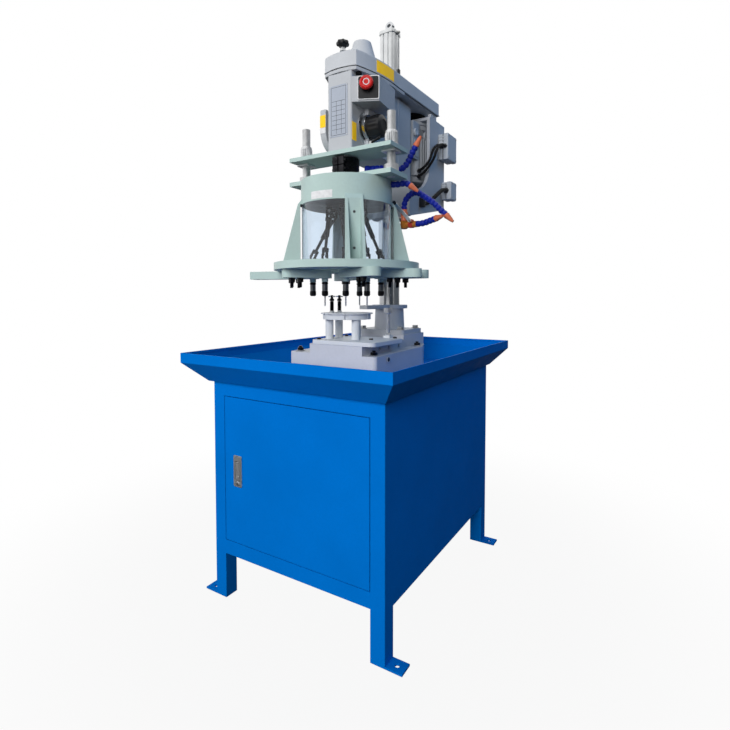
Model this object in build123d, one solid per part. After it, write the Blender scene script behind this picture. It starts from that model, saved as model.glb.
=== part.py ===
from build123d import *
import math
import os

# Multi-spindle drilling machine on a cabinet stand. Sizes are in millimetres.
# +X is the operator's right, +Y the back, +Z up. The origin is on the floor, under the middle of the tray.

# Stand and door
TUBE = 40.0
TUBE_WALL = 3.0
CABINET_X = 565.0
CABINET_Y = 728.0
CABINET_TOP_Z = 627.0
BOTTOM_RAIL_Z = 130.6
PANEL_SHEET = 1.5
VENT_R = 4.0
FOOT_REACH = 45.0
FOOT_THICK = 5.0
FOOT_HOLE_R = 6.0
DOOR_GAP = 2.0
DOOR_DEPTH = 18.0
DOOR_SHEET = 1.5
HINGE_INSET_X = 8.0
HINGE_INSET_Y = 5.0
HINGE_PIN_R = 2.5
HINGE_PIN_REACH = 7.0
HINGE_BLOCK = 9.0
HINGE_BLOCK_H = 24.0
LOCK_W = 32.0
LOCK_H = 89.0
LOCK_PROUD = 2.0
LOCK_BODY_DEPTH = 16.0
LOCK_BODY_MARGIN = 4.0
LOCK_FROM_EDGE = 50.0
LEVER_W = 18.0
LEVER_H = 52.0
LEVER_THICK = 5.0
LEVER_POCKET_GAP = 1.0
LEVER_POCKET_DEPTH = 10.0
LEVER_PIN_R = 1.5
LEVER_PIN_REACH = 3.0
LEVER_PIVOT_DROP = 3.0

# Chip tray
TRAY_X = 680.0
TRAY_Y = 866.0
TRAY_FLOOR_X = 581.0
TRAY_FLOOR_Y = 753.0
TRAY_SHEET = 3.0
TRAY_SLOPE_H = 55.0
TRAY_LIP_H = 27.6
TRAY_LIP_WALL = 2.0
TRAY_HEM_H = 7.0
TRAY_HEM_WALL = 4.0

# Plan places of the machine's three upright axes
AXIS_Y = -100.0
COLUMN_Y = 165.0
MOTOR_Y = 318.0
COLUMN_R = 35.0
COLUMN_STEM_R = 20.0

# Base casting and column foot, heights above the tray floor
BASE_HALF_X = 152.0
BASE_REAR_HALF_X = 134.0
BASE_FRONT = 351.0
BASE_REAR = 97.0
BASE_CORNER_R = 10.0
BASE_SIDE_END = 15.0
BASE_CHAMFER_X = 34.0
BASE_CHAMFER_Y = 27.0
BASE_END_HALF_X = 60.0
BASE_FLANGE_H = 72.0
BASE_WALL = 14.0
BASE_ROOF = 18.0
PAD_LEFT_X = -75.0
PAD_RIGHT_X = 108.0
PAD_REAR_GAP = 95.0
PAD_H = 27.0
PAD_HOLE_R = 5.0
PAD_HOLE_DEPTH = 14.0
PAD_HOLE_UP = 12.0
PAD_HOLES = (10.0, 67.0, 132.0)
COLUMN_PAD_HALF = 95.0
COLUMN_PAD_H = 40.0
COLUMN_PAD_MARGIN = 2.0
BOLT_TIP_ROOM = 4.0
ANCHOR_X = 131.0
ANCHOR_FRONT_INSET = 26.0
ANCHOR_REAR_X = 112.0
ANCHOR_REAR_INSET = 108.0
BOLT_R = 6.0
BOLT_HEAD_R = 10.0
BOLT_HEAD_H = 8.0
WASHER_R = 13.0
WASHER_H = 2.5
BOLT_LENGTH = 34.0
BOLT_HOLE_CLEAR = 0.5
FOOT_HALF_X = 90.0
FOOT_HALF_Y = 74.0
FOOT_FLANGE_H = 15.0
FOOT_CORNER_R = 12.0
FOOT_BOLT_X = 72.0
FOOT_BOLT_Y = 56.0
FOOT_BODY_R = 52.0
FOOT_NECK_R = 49.0
FOOT_BODY_H = 70.0
COLLAR_R = 62.0
COLLAR_H = 12.0
SUPPORT_ARM_LENGTH = 172.0
SUPPORT_ARM_ROOT = 38.0
SUPPORT_ARM_TIP = 14.0

# Work fixture
FIXTURE_LEFT_X = -70.0
FIXTURE_RIGHT_X = 146.0
FIXTURE_FRONT = 88.0
FIXTURE_REAR = 92.0
FIXTURE_THICK = 12.0
FIXTURE_CORNER_R = 14.0
TABLE_R = 72.0
TABLE_HOLE_R = 38.0
TABLE_RING_H = 16.0
TABLE_TOP_R = 78.0
TABLE_TOP_H = 3.0
TABLE_POST_R = 12.0
TABLE_POST_H = 59.0
TABLE_POST_CIRCLE = 53.0
TABLE_POST_ANGLES = (-27.0, 88.0, 152.0, 223.0)
TABLE_DRILL_ROOM = 2.0
LOCATOR_R = 7.0
LOCATOR_H = 53.0
LOCATOR_PLACES = ((-50.0, -8.0), (-45.0, 25.0))
LOCATOR_BAR_R = 2.0
LOCATOR_BAR_REACH = 13.0
STOP_X = 100.0
STOP_Y = 76.0
STOP_FOOT = 22.0
STOP_FOOT_H = 9.0
STOP_R = 6.0
STOP_H = 92.0
STOP_HEAD_R = 13.0
STOP_HEAD_H = 16.0

# Drill head. HEAD_H is the height of the guide plate's top face above the tray floor.
HEAD_H = 662.0
PLATE_HALF_X = 178.0
PLATE_DEPTH = 102.0
PLATE_THICK = 12.0
CASING_HALF_X = 42.0
CASING_FRONT = 37.0
CASING_H = 224.0
CASING_EDGE_R = 5.0
NECK_HALF_X = 56.0
NECK_OVERLAP = 4.0
NECK_UP = 8.0
BOSS_HALF_X = 58.0
BOSS_HALF_Y = 49.0
BOSS_EDGE_R = 8.0
BOSS_DROP = 52.0
COLUMN_FIT = 0.05
PAN_H = 11.0
PAN_END = 60.0
PLAN_REACH = 1000.0
LID_H = 48.0
LID_WALL = 3.0
LID_EDGE_R = 7.0
LID_FRONT_X = 55.0
LID_FRONT = 32.0
LID_BOW = 10.0
LID_REAR_X = 96.0
LID_REAR = 44.0
LID_SIDE_X = 78.0
LID_SIDE_Y = 46.0
LID_SIDE_END_X = 87.0
LID_SIDE_END_Y = 160.0
PAN_FLOOR = 3.0
PAN_FLOOR_INSET = 4.0
PAN_SHAFT_GAP = 18.0
LID_COLUMN_GAP = 3.0
DOME_Y = 88.0
DOME_R = 50.0
DOME_TOP_R = 28.0
DOME_H = 77.0
KNOB_Y = 19.0
KNOB_STEM_R = 5.0
KNOB_STEM_H = 20.0
KNOB_R = 15.0
KNOB_LOBE_R = 4.5
KNOB_LOBES = 6
KNOB_H = 19.0
KNOB_FIT = 0.3
SIDE_COVER_R = 58.0
SIDE_COVER_X = 22.0
SIDE_COVER_Y = 30.0
SIDE_COVER_Z = 72.0
SIDE_COVER_RISE = 62.0
SIDE_COVER_EDGE_R = 4.0
SIDE_COVER_SEAT_R = 34.0
STOP_BOX_ANGLE = 25.0
STOP_BOX_FACE = 80.0
STOP_BOX_DEPTH = 116.0
STOP_BOX_INWARD = 12.0
STOP_BOX_Z = 133.0
STOP_BOX_H = 72.0
STOP_BOX_WALL = 3.0
BUTTON_ALONG = 42.5
BUTTON_UP = 46.0
BUTTON_STEM_R = 11.0
BUTTON_STEM_IN = 16.0
BUTTON_GAP = 9.0
BUTTON_HEAD_R = 20.0
BUTTON_HEAD_H = 13.0
BUTTON_FACE_R = 14.5
CYLINDER_SIDE = 57.0
CYLINDER_CAP_SIDE = 60.0
CYLINDER_CAP_H = 14.0
CYLINDER_H = 182.0
CYLINDER_CORNER_R = 15.0
CYLINDER_GROOVE = 5.0
EYE_R = 15.0
EYE_HOLE_R = 7.0
EYE_THICK = 14.0
EYE_UP = 21.0
COLUMN_ABOVE_LID = 7.0

# Motor, bracket and belt drive
MOTOR_R = 72.0
MOTOR_H = 182.0
MOTOR_FLANGE_R = 74.0
MOTOR_FLANGE_H = 10.0
MOUNT_HALF_X = 62.0
MOUNT_FRONT = 98.0
MOUNT_H = 130.0
FAN_COVER_R = 70.0
FAN_COVER_H = 26.0
MOTOR_SHAFT_R = 12.0
MOTOR_SHAFT_IN = 60.0
BRACKET_HALF_X = 100.0
BRACKET_CHEEK = 12.0
BRACKET_REAR = 87.0
BRACKET_LEG_FRONT = 43.0
BRACKET_CURVE_R = 105.0
BRACKET_FLOOR = 15.0
BRACKET_TOE = 23.0
BRACKET_FRONT = 47.0
BRACKET_DROP = 60.0
BRACKET_WEB = 10.0
BRACKET_TOP = 10.0
BRACKET_RING_R = 58.0
BRACKET_RING_H = 44.0
BRACKET_GAP = 4.0
BRACKET_H = 308.0
REGISTER_R = 40.0
LUG_FRONT = 33.0
LUG_LENGTH = 46.0
LUG_H = 12.0
LUG_HOLE_R = 4.0
BOX_UPPER = (39.0, 85.0, 95.0)
BOX_UPPER_AT = (30.0, 173.0)
BOX_LOWER = (40.0, 55.0, 67.0)
BOX_LOWER_AT = (60.0, 33.0)
BOX_CORNER_R = 6.0
GLAND_R = 8.0
GLAND_FACE_R = 86.0
GLAND_ANGLE = -40.0
GLAND_UP = (122.0, 103.0)
GLAND_RUN = 24.0
CABLE_R = 4.5
CABLE_X = (12.0, 27.0)
LEAD_R = 7.0
LEAD_RUN = 22.0
CLIP = (18.0, 14.0, 34.0)
CLIP_FRONT = -128.0
CLIP_UP = -22.0
EXIT_RUN = 28.0
ARC_SHARE = 0.45
BELT_H = 12.0
BELT_THICK = 8.0
SPINDLE_PULLEY_R = 28.0
MOTOR_PULLEY_R = 34.0
PULLEY_RIM = 2.0
PULLEY_FLANGE_H = 4.5
PULLEY_Z = 6.0
BELT_GAP = 0.5
SLEEVE_R = 20.0
SLEEVE_H = 47.0

# Quill, feed and the parts that ride on it
RUN_FIT = 0.05
PRESSURE_ANGLE = 20.0
TOOTH_TIP = 0.9
TOOTH_ROOT = 1.2
FLANK_STEPS = 4
QUILL_R = 29.0
QUILL_BORE_R = 16.0
QUILL_LAND_H = 25.0
QUILL_H = 230.0
QUILL_TOP_ROOM = 10.0
QUILL_PLATE_GAP = 2.0
SHAFT_R = 12.0
SHAFT_TOP_ROOM = 15.0
PINION_MODULE = 2.0
PINION_TEETH = 16
PINION_Z = 78.0
PINION_HALF = 6.0
PINION_ROOM = 2.0
RACK_INSET = 4.7
RACK_SLOT_HALF = 7.0
RACK_TEETH = 14
RACK_BELOW = 4
JOURNAL_R = 18.5
JOURNAL_INSET = 8.0
PINION_NECK_R = 10.0
DIAL_R = 39.0
DIAL_H = 13.0
DIAL_GAP = 3.0
DIAL_HUB_R = 24.0
DIAL_HUB_H = 34.0

# Multi-spindle head
TOP_PLATE_DROP = 61.0
TOP_PLATE_THICK = 13.0
SPIGOT_H = 8.0
NECK_R = 27.0
NECK_H = 21.0
NECK_BORE_R = 16.0
COUPLING_R = 38.0
COUPLING_BELOW = 14.0
COUPLING_ABOVE = 36.0
COUPLING_LUG = 20.0
COUPLING_LUG_OUT = 8.0
COUPLING_SPLIT = 3.0
CLAMP_FIT = 0.05
GUIDE_X = 152.0
GUIDE_POST_R = 12.5
GUIDE_POST_H = 183.0
GUIDE_COLLAR_R = 21.0
GUIDE_COLLAR_H = 21.0
BUSH_R = 18.0
BUSH_ABOVE = 43.0
BUSH_FLANGE_HALF = 22.0
BUSH_FLANGE_H = 6.0
DRUM_R = 135.5
DRUM_WALL = 9.5
DRUM_H = 71.0
DRUM_FLOOR = 15.0
LEG_H = 169.0
LEG_ANGLES = (42.0, 132.0, 222.0, 312.0)
LEG_OUT = 3.5
LEG_WALL = 7.0
LEG_HALF_W = 25.0
LEG_ROOT_H = 13.0
LEG_ROOT_IN = 5.5
RIB_THICK = 8.0
RIB_REACH = 51.0
FLANGE_R = 216.0
FLANGE_BORE_R = 122.0
FLANGE_THICK = 21.0
GUARD_INSET = 1.5
GUARD_WALL = 2.0
GUARD_GAP = 0.4
GEAR_MODULE = 2.0
SUN_TEETH = 36
PLANET_TEETH = 18
GEAR_THICK = 20.0
GEAR_ABOVE_FLOOR = 10.0
GEAR_BACKLASH = 0.4
FIRST_PLANET_ANGLE = 50.0
SUN_STUB_R = 8.0
SUN_STUB_IN = 8.0
SUN_STUB_ROOM = 1.0
PLANET_SHAFT_R = 6.0
PLANET_SHAFT_TOP = 10.0

# Universal joints: the fork hubs stand JOINT_HUB_OFF from each joint's centre
JOINT_UPPER_DROP = 23.0
JOINT_LOWER_RISE = 22.0
JOINT_HUB_OFF = 12.0
JOINT_HUB_H = 9.0
JOINT_HUB_R = 10.0
FORK_IN = 7.0
FORK_OUT = 10.0
FORK_HALF_W = 4.0
FORK_PAST = 4.0
FORK_ROOT = 1.0
CROSS_HALF = 3.9
CROSS_PIN_R = 2.2
CROSS_GAP = 1.4
TUBE_R = 7.0
INNER_SHAFT_R = 4.5
TUBE_SHARE = 0.55

# Spindles: place of each about the head's axis, place of its arm's outer end, whether it holds a drill
SPINDLES = (
    ((82.8, 62.1), (216.0, 68.4), False),
    ((0.4, 70.5), (-140.0, 165.0), True),
    ((-96.6, -41.3), (-299.0, -87.5), False),
    ((-29.5, -70.7), (-85.0, -165.0), True),
    ((36.4, -59.8), (180.0, -145.0), True),
    ((72.9, -2.4), (231.0, -10.0), True),
)
SQUARE_ENDED_ARM = 2
ARM_HALF_W = 20.0
ARM_THICK = 24.0
ARM_SLEEVE_R = 9.5
ARM_SLEEVE_BELOW = 10.0
ARM_SLEEVE_ABOVE = 12.0
ARM_BOLT_R = 5.0
ARM_BOLT_RADII = (152.0, 177.0)
ARM_BOLT_TAIL = 27.0
ARM_NUT_R = 9.0
ARM_NUT_H = 12.0
ARM_BOLT_CLEAR = 0.3
SPINDLE_R = 6.0
CHUCK_R = 8.5
CHUCK_H = 26.0
CHUCK_GAP = 1.0
NUT_R = 9.5
NUT_H = 15.0
DRILL_R = 2.5
DRILL_H = 27.0
DRILL_CHISEL_R = 0.2

# Coolant valve and hoses
VALVE_INSET_X = 4.5
VALVE_INSET_Y = 15.5
VALVE_DROP = 31.0
VALVE_R = 13.0
VALVE_H = 58.0
VALVE_BRANCH = 42.0
VALVE_BRANCH_R = 10.0
VALVE_BRANCH_UP = 12.0
VALVE_ARM_R = 7.0
VALVE_ARM_UP = 30.0
VALVE_BOSS_X = 29.0
VALVE_BOSS_UP = 9.0
VALVE_BOSS_R = 6.0
VALVE_BOSS_H = 5.0
LEVER_HUB_R = 7.0
LEVER_PLATE = 3.0
LEVER_LENGTH = 83.0
LEVER_HALF_W = 4.0
LEVER_LEAN = 42.0
LEVER_GAP = 0.5
ELBOW_X = 48.0
ELBOW_Y = 42.0
ELBOW_UP = 30.0
ELBOW_REACH = 14.0
STUB_ANGLE = 20.0
STUB_UP = 61.0
STUB_OUT = 11.5
STUB_RUN = 15.0
HOSE_R = 9.5
HOSE_GROOVE_R = 7.2
HOSE_BORE_R = 4.5
HOSE_RUN = 22.0
HOSE_RIB_PITCH = 13.5
HOSE_RIB_STEPS = ((0.0, HOSE_GROOVE_R), (0.25, HOSE_R), (0.75, HOSE_R), (0.999, HOSE_GROOVE_R))
NOZZLE_LENGTH = 30.0
NOZZLE_TIP_R = 4.0
NOZZLE_BORE_R = 2.0

# Heights that the sizes above set
DECK_Z = CABINET_TOP_Z + TRAY_SHEET
FLANGE_Z = DECK_Z + BASE_FLANGE_H
PAD_Z = FLANGE_Z + PAD_H
COLUMN_PAD_Z = FLANGE_Z + COLUMN_PAD_H
FIXTURE_Z = PAD_Z + FIXTURE_THICK
TABLE_Z = FIXTURE_Z + TABLE_POST_H + TABLE_RING_H + TABLE_TOP_H
HEAD_Z = DECK_Z + HEAD_H
GUIDE_PLATE_Z = HEAD_Z - PLATE_THICK
CASING_TOP_Z = HEAD_Z + CASING_H
LID_Z = CASING_TOP_Z + PAN_H
LID_TOP_Z = LID_Z + LID_H
COLUMN_TOP_Z = LID_TOP_Z + COLUMN_ABOVE_LID
BOSS_Z = HEAD_Z - BOSS_DROP
BRACKET_Z = BOSS_Z - BRACKET_GAP - BRACKET_RING_H
BRACKET_TOP_Z = BRACKET_Z + BRACKET_H
BELT_Z = LID_Z + PULLEY_Z + PULLEY_FLANGE_H + BELT_GAP
TOP_PLATE_Z = GUIDE_PLATE_Z - TOP_PLATE_DROP - TOP_PLATE_THICK
TOP_PLATE_TOP_Z = TOP_PLATE_Z + TOP_PLATE_THICK
NECK_TOP_Z = TOP_PLATE_TOP_Z + NECK_H
DRUM_Z = TOP_PLATE_Z - DRUM_H
RING_TOP_Z = DRUM_Z - LEG_H
RING_Z = RING_TOP_Z - FLANGE_THICK
GEAR_Z = DRUM_Z + DRUM_FLOOR + GEAR_ABOVE_FLOOR
UPPER_JOINT_Z = DRUM_Z - JOINT_UPPER_DROP
LOWER_JOINT_Z = RING_TOP_Z + JOINT_LOWER_RISE
ARM_Z = RING_Z - ARM_THICK
CHUCK_TOP_Z = ARM_Z - ARM_SLEEVE_BELOW - CHUCK_GAP
NUT_TOP_Z = CHUCK_TOP_Z - CHUCK_H
NUT_Z = NUT_TOP_Z - NUT_H

# Plan lines that the sizes above set
FRONT_Y = -CABINET_Y / 2
BASE_FRONT_Y = COLUMN_Y - BASE_FRONT
BASE_REAR_Y = COLUMN_Y + BASE_REAR
CASING_FRONT_Y = AXIS_Y - CASING_FRONT
NECK_FRONT_Y = AXIS_Y + CASING_FRONT - NECK_OVERLAP
PLANET_CIRCLE_R = GEAR_MODULE * (SUN_TEETH + PLANET_TEETH) / 2
PINION_R = PINION_MODULE * PINION_TEETH / 2
RACK_PITCH_LINE = QUILL_R - RACK_INSET
JOURNAL_START = QUILL_R - JOURNAL_INSET
STUB_R = DRUM_R + STUB_OUT
LEG_IN_X = DRUM_R + LEG_OUT
LEG_FACE_X = LEG_IN_X + LEG_WALL
GUARD_R = DRUM_R - GUARD_INSET
VALVE_X = DRUM_R - VALVE_INSET_X
VALVE_Y = AXIS_Y + DRUM_R - VALVE_INSET_Y
PINION_Y = AXIS_Y + RACK_PITCH_LINE + PINION_R
DIAL_Z = HEAD_Z + PINION_Z
UP = (0, 0, 1)


def block(x0, x1, y0, y1, z0, z1):
    middle = Pos((x0 + x1) / 2, (y0 + y1) / 2, (z0 + z1) / 2)
    return middle * Box(x1 - x0, y1 - y0, z1 - z0)


def post(x, y, z0, z1, radius):
    return Pos(x, y, (z0 + z1) / 2) * Cylinder(radius, z1 - z0)


def rod(start, end, radius, end_radius=None):
    line = Vector(*end) - Vector(*start)
    round_bar = Cylinder(radius, line.length)
    if end_radius is not None:
        round_bar = Cone(radius, end_radius, line.length)
    return Plane(origin=start, z_dir=line) * Pos(0, 0, line.length / 2) * round_bar


def prism(points, z0, z1):
    return extrude(Pos(0, 0, z0) * Polygon(*points, align=None), z1 - z0, dir=UP)


def rounded_block(size_x, size_y, radius, z0, z1):
    return extrude(Pos(0, 0, z0) * RectangleRounded(size_x, size_y, radius), z1 - z0, dir=UP)


def hexagon(x, y, z0, z1, radius):
    return extrude(Pos(x, y, z0) * RegularPolygon(radius, 6), z1 - z0, dir=UP)


def keep(name, *shapes):
    solids = [solid for shape in shapes for solid in shape.solids()]
    export_step(Compound(solids), f"parts/{name}.step")


def gear_outline(module, teeth, first_tooth):
    pitch_r = module * teeth / 2
    pressure = math.radians(PRESSURE_ANGLE)
    base_r = pitch_r * math.cos(pressure)
    tip_r = pitch_r + TOOTH_TIP * module
    root_r = pitch_r - TOOTH_ROOT * module
    spread = math.tan(pressure) - pressure
    half = math.pi / (2 * teeth) - GEAR_BACKLASH / (2 * pitch_r) + spread
    low_r = max(base_r, root_r)
    flank = []
    for step in range(FLANK_STEPS + 1):
        radius = low_r + (tip_r - low_r) * step / FLANK_STEPS
        roll = math.acos(base_r / radius) if radius > base_r else 0.0
        flank.append((radius, half - math.tan(roll) + roll))
    side = [(root_r, flank[0][1])] + flank if root_r < base_r else flank
    points = []
    for tooth in range(teeth):
        middle = math.radians(first_tooth + 360.0 * tooth / teeth)
        for radius, angle in side:
            points.append((radius * math.cos(middle - angle), radius * math.sin(middle - angle)))
        for radius, angle in reversed(side):
            points.append((radius * math.cos(middle + angle), radius * math.sin(middle + angle)))
    return Polygon(*points, align=None)


# Stand: four legs, two rings of rails, foot plates, panels and cabinet floor, welded into one
def stand_frame():
    side_x = CABINET_X / 2
    side_y = CABINET_Y / 2
    inner_x = side_x - TUBE
    inner_y = side_y - TUBE
    top_rail_z = CABINET_TOP_Z - TUBE
    rail_top_z = BOTTOM_RAIL_Z + TUBE
    wall = TUBE_WALL
    frame = Part()
    for sx in (-1, 1):
        for sy in (-1, 1):
            x0, x1 = sorted((sx * side_x, sx * inner_x))
            y0, y1 = sorted((sy * side_y, sy * inner_y))
            frame += block(x0, x1, y0, y1, FOOT_THICK, CABINET_TOP_Z)
            frame -= block(x0 + wall, x1 - wall, y0 + wall, y1 - wall, FOOT_THICK, CABINET_TOP_Z)
            f0, f1 = sorted((sx * inner_x, sx * (side_x + FOOT_REACH)))
            foot = block(f0, f1, y0, y1, 0, FOOT_THICK)
            foot -= post(sx * (side_x + FOOT_REACH / 2), (y0 + y1) / 2, 0, FOOT_THICK, FOOT_HOLE_R)
            frame += foot
    for z0 in (BOTTOM_RAIL_Z, top_rail_z):
        z1 = z0 + TUBE
        for sign in (-1, 1):
            x0, x1 = sorted((sign * side_x, sign * inner_x))
            y0, y1 = sorted((sign * side_y, sign * inner_y))
            along_y = block(x0, x1, -inner_y, inner_y, z0, z1)
            along_y -= block(x0 + wall, x1 - wall, -inner_y, inner_y, z0 + wall, z1 - wall)
            along_y -= post((x0 + x1) / 2, 0, z0 - wall, z0 + 2 * wall, VENT_R)
            along_x = block(-inner_x, inner_x, y0, y1, z0, z1)
            along_x -= block(-inner_x, inner_x, y0 + wall, y1 - wall, z0 + wall, z1 - wall)
            along_x -= post(0, (y0 + y1) / 2, z0 - wall, z0 + 2 * wall, VENT_R)
            frame += along_y + along_x
    for sign in (-1, 1):
        x0, x1 = sorted((sign * side_x, sign * (side_x - PANEL_SHEET)))
        frame += block(x0, x1, -inner_y, inner_y, rail_top_z, top_rail_z)
    frame += block(-inner_x, inner_x, side_y - PANEL_SHEET, side_y, rail_top_z, top_rail_z)
    frame += block(-inner_x, inner_x, -inner_y, inner_y, rail_top_z - PANEL_SHEET, rail_top_z)
    hinge_hole_r = HINGE_PIN_R + RUN_FIT
    frame -= post(*hinge_place(), rail_top_z - 2 * wall, rail_top_z, hinge_hole_r)
    frame -= post(*hinge_place(), top_rail_z, top_rail_z + 2 * wall, hinge_hole_r)
    return frame


def hinge_place():
    return CABINET_X / 2 - TUBE - DOOR_GAP - HINGE_INSET_X, FRONT_Y + HINGE_INSET_Y


# Chip tray: flat floor, sloping sides, upright lip with a hem
def chip_tray():
    slope_z = CABINET_TOP_Z + TRAY_SLOPE_H
    top_z = slope_z + TRAY_LIP_H
    thin = 2 * TRAY_LIP_WALL
    hem = 2 * TRAY_HEM_WALL
    outside = loft(
        [Pos(0, 0, CABINET_TOP_Z) * Rectangle(TRAY_FLOOR_X, TRAY_FLOOR_Y),
         Pos(0, 0, slope_z) * Rectangle(TRAY_X, TRAY_Y)],
        ruled=True,
    )
    outside += block(-TRAY_X / 2, TRAY_X / 2, -TRAY_Y / 2, TRAY_Y / 2, slope_z, top_z)
    inside = loft(
        [Pos(0, 0, DECK_Z) * Rectangle(TRAY_FLOOR_X - thin, TRAY_FLOOR_Y - thin),
         Pos(0, 0, slope_z) * Rectangle(TRAY_X - thin, TRAY_Y - thin)],
        ruled=True,
    )
    inside += Pos(0, 0, (slope_z + top_z) / 2) * Box(TRAY_X - thin, TRAY_Y - thin, top_z - slope_z)
    rim = block(-TRAY_X / 2, TRAY_X / 2, -TRAY_Y / 2, TRAY_Y / 2, top_z - TRAY_HEM_H, top_z)
    rim -= Pos(0, 0, top_z - TRAY_HEM_H / 2) * Box(TRAY_X - hem, TRAY_Y - hem, TRAY_HEM_H)
    return outside - inside + rim


# Door: a folded pan with a pivot block and pin at its two right-hand corners
def door_edges():
    half_x = CABINET_X / 2 - TUBE - DOOR_GAP
    z0 = BOTTOM_RAIL_Z + TUBE + DOOR_GAP
    z1 = CABINET_TOP_Z - TUBE - DOOR_GAP
    return half_x, z0, z1


def lock_place():
    half_x, z0, z1 = door_edges()
    return -half_x + LOCK_FROM_EDGE, (z0 + z1) / 2


def cabinet_door():
    half_x, z0, z1 = door_edges()
    sheet = DOOR_SHEET
    back_y = FRONT_Y + DOOR_DEPTH
    door = block(-half_x, half_x, FRONT_Y, back_y, z0, z1)
    door -= block(-half_x + sheet, half_x - sheet, FRONT_Y + sheet, back_y, z0 + sheet, z1 - sheet)
    x, y = hinge_place()
    pivot_y = FRONT_Y + HINGE_INSET_Y + HINGE_BLOCK
    for edge, inward in ((z0, 1), (z1, -1)):
        low, high = sorted((edge, edge + inward * HINGE_BLOCK_H))
        door += block(x - HINGE_BLOCK, half_x, FRONT_Y, pivot_y, low, high)
        low, high = sorted((edge, edge - inward * HINGE_PIN_REACH))
        door += post(x, y, low, high, HINGE_PIN_R)
    lock_x, lock_z = lock_place()
    half_w = LOCK_W / 2 - LOCK_BODY_MARGIN
    half_h = LOCK_H / 2 - LOCK_BODY_MARGIN
    window = Pos(lock_x, FRONT_Y + sheet / 2, lock_z) * Box(2 * half_w, sheet, 2 * half_h)
    return door - window


# Door lock: flush plate and body with a pocket for the pull lever
def lever_pivot():
    lock_x, lock_z = lock_place()
    return lock_x, FRONT_Y - LOCK_PROUD + LEVER_THICK / 2, lock_z + LEVER_H / 2 - LEVER_PIVOT_DROP


def door_lock():
    lock_x, lock_z = lock_place()
    face_y = FRONT_Y - LOCK_PROUD
    margin = 2 * LOCK_BODY_MARGIN
    room = 2 * LEVER_POCKET_GAP
    lock = Pos(lock_x, face_y + LOCK_PROUD / 2, lock_z) * Box(LOCK_W, LOCK_PROUD, LOCK_H)
    body = Box(LOCK_W - margin, LOCK_BODY_DEPTH, LOCK_H - margin)
    lock += Pos(lock_x, FRONT_Y + LOCK_BODY_DEPTH / 2, lock_z) * body
    pocket = Box(LEVER_W + room, LEVER_POCKET_DEPTH, LEVER_H + 2 * room)
    lock -= Pos(lock_x, face_y + LEVER_POCKET_DEPTH / 2, lock_z) * pocket
    x, y, z = lever_pivot()
    reach = LEVER_W / 2 + LEVER_PIN_REACH
    return lock - rod((x - reach, y, z), (x + reach, y, z), LEVER_PIN_R + RUN_FIT)


def lock_lever():
    lock_x, lock_z = lock_place()
    x, y, z = lever_pivot()
    face_y = FRONT_Y - LOCK_PROUD
    reach = LEVER_W / 2 + LEVER_PIN_REACH
    lever = Pos(lock_x, face_y + LEVER_THICK / 2, lock_z) * Box(LEVER_W, LEVER_THICK, LEVER_H)
    return lever + rod((x - reach, y, z), (x + reach, y, z), LEVER_PIN_R)


# Base casting: hollow flange, raised work pad at the front, column pad at the back
def base_outline():
    right = (
        (BASE_HALF_X, BASE_FRONT_Y), (BASE_REAR_HALF_X, COLUMN_Y - BASE_SIDE_END),
        (BASE_REAR_HALF_X - BASE_CHAMFER_X, BASE_REAR_Y - BASE_CHAMFER_Y), (BASE_END_HALF_X, BASE_REAR_Y),
    )
    left = [(-x, y) for x, y in reversed(right)]
    outline = Polygon(*right, *left, align=None)
    return fillet(outline.vertices(), BASE_CORNER_R)


def anchor_places():
    front_y = BASE_FRONT_Y + ANCHOR_FRONT_INSET
    rear_y = BASE_REAR_Y - ANCHOR_REAR_INSET
    return [(sign * x, y) for sign in (-1, 1) for x, y in ((ANCHOR_X, front_y), (ANCHOR_REAR_X, rear_y))]


def foot_bolt_places():
    return [(sx * FOOT_BOLT_X, COLUMN_Y + sy * FOOT_BOLT_Y) for sx in (-1, 1) for sy in (-1, 1)]


def base_casting():
    outline = base_outline()
    base = extrude(Pos(0, 0, DECK_Z) * outline, BASE_FLANGE_H, dir=UP)
    base += block(PAD_LEFT_X, PAD_RIGHT_X, BASE_FRONT_Y, COLUMN_Y - PAD_REAR_GAP, FLANGE_Z, PAD_Z)
    pad_half = COLUMN_PAD_HALF
    pad_y = FOOT_HALF_Y + COLUMN_PAD_MARGIN
    base += block(-pad_half, pad_half, COLUMN_Y - pad_y, COLUMN_Y + pad_y, FLANGE_Z, COLUMN_PAD_Z)
    base -= extrude(Pos(0, 0, DECK_Z) * offset(outline, -BASE_WALL), BASE_FLANGE_H - BASE_ROOF, dir=UP)
    hole_z = FLANGE_Z + PAD_HOLE_UP
    for from_axis in PAD_HOLES:
        y = AXIS_Y + from_axis
        base -= rod((PAD_RIGHT_X - PAD_HOLE_DEPTH, y, hole_z), (PAD_RIGHT_X, y, hole_z), PAD_HOLE_R)
    hole_r = BOLT_R + BOLT_HOLE_CLEAR
    for x, y in anchor_places():
        base -= post(x, y, FLANGE_Z - BOLT_LENGTH - BOLT_TIP_ROOM, FLANGE_Z, hole_r)
    for x, y in foot_bolt_places():
        base -= post(x, y, COLUMN_PAD_Z - BOLT_LENGTH, COLUMN_PAD_Z, hole_r)
    return base


def bolt(x, y, seat_z):
    head_z = seat_z + WASHER_H
    screw = post(x, y, seat_z, head_z, WASHER_R)
    screw += hexagon(x, y, head_z, head_z + BOLT_HEAD_H, BOLT_HEAD_R)
    return screw + post(x, y, seat_z - BOLT_LENGTH, seat_z, BOLT_R)


def anchor_bolts():
    on_flange = [bolt(x, y, FLANGE_Z) for x, y in anchor_places()]
    on_foot = [bolt(x, y, COLUMN_PAD_Z + FOOT_FLANGE_H) for x, y in foot_bolt_places()]
    return on_flange + on_foot


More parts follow.
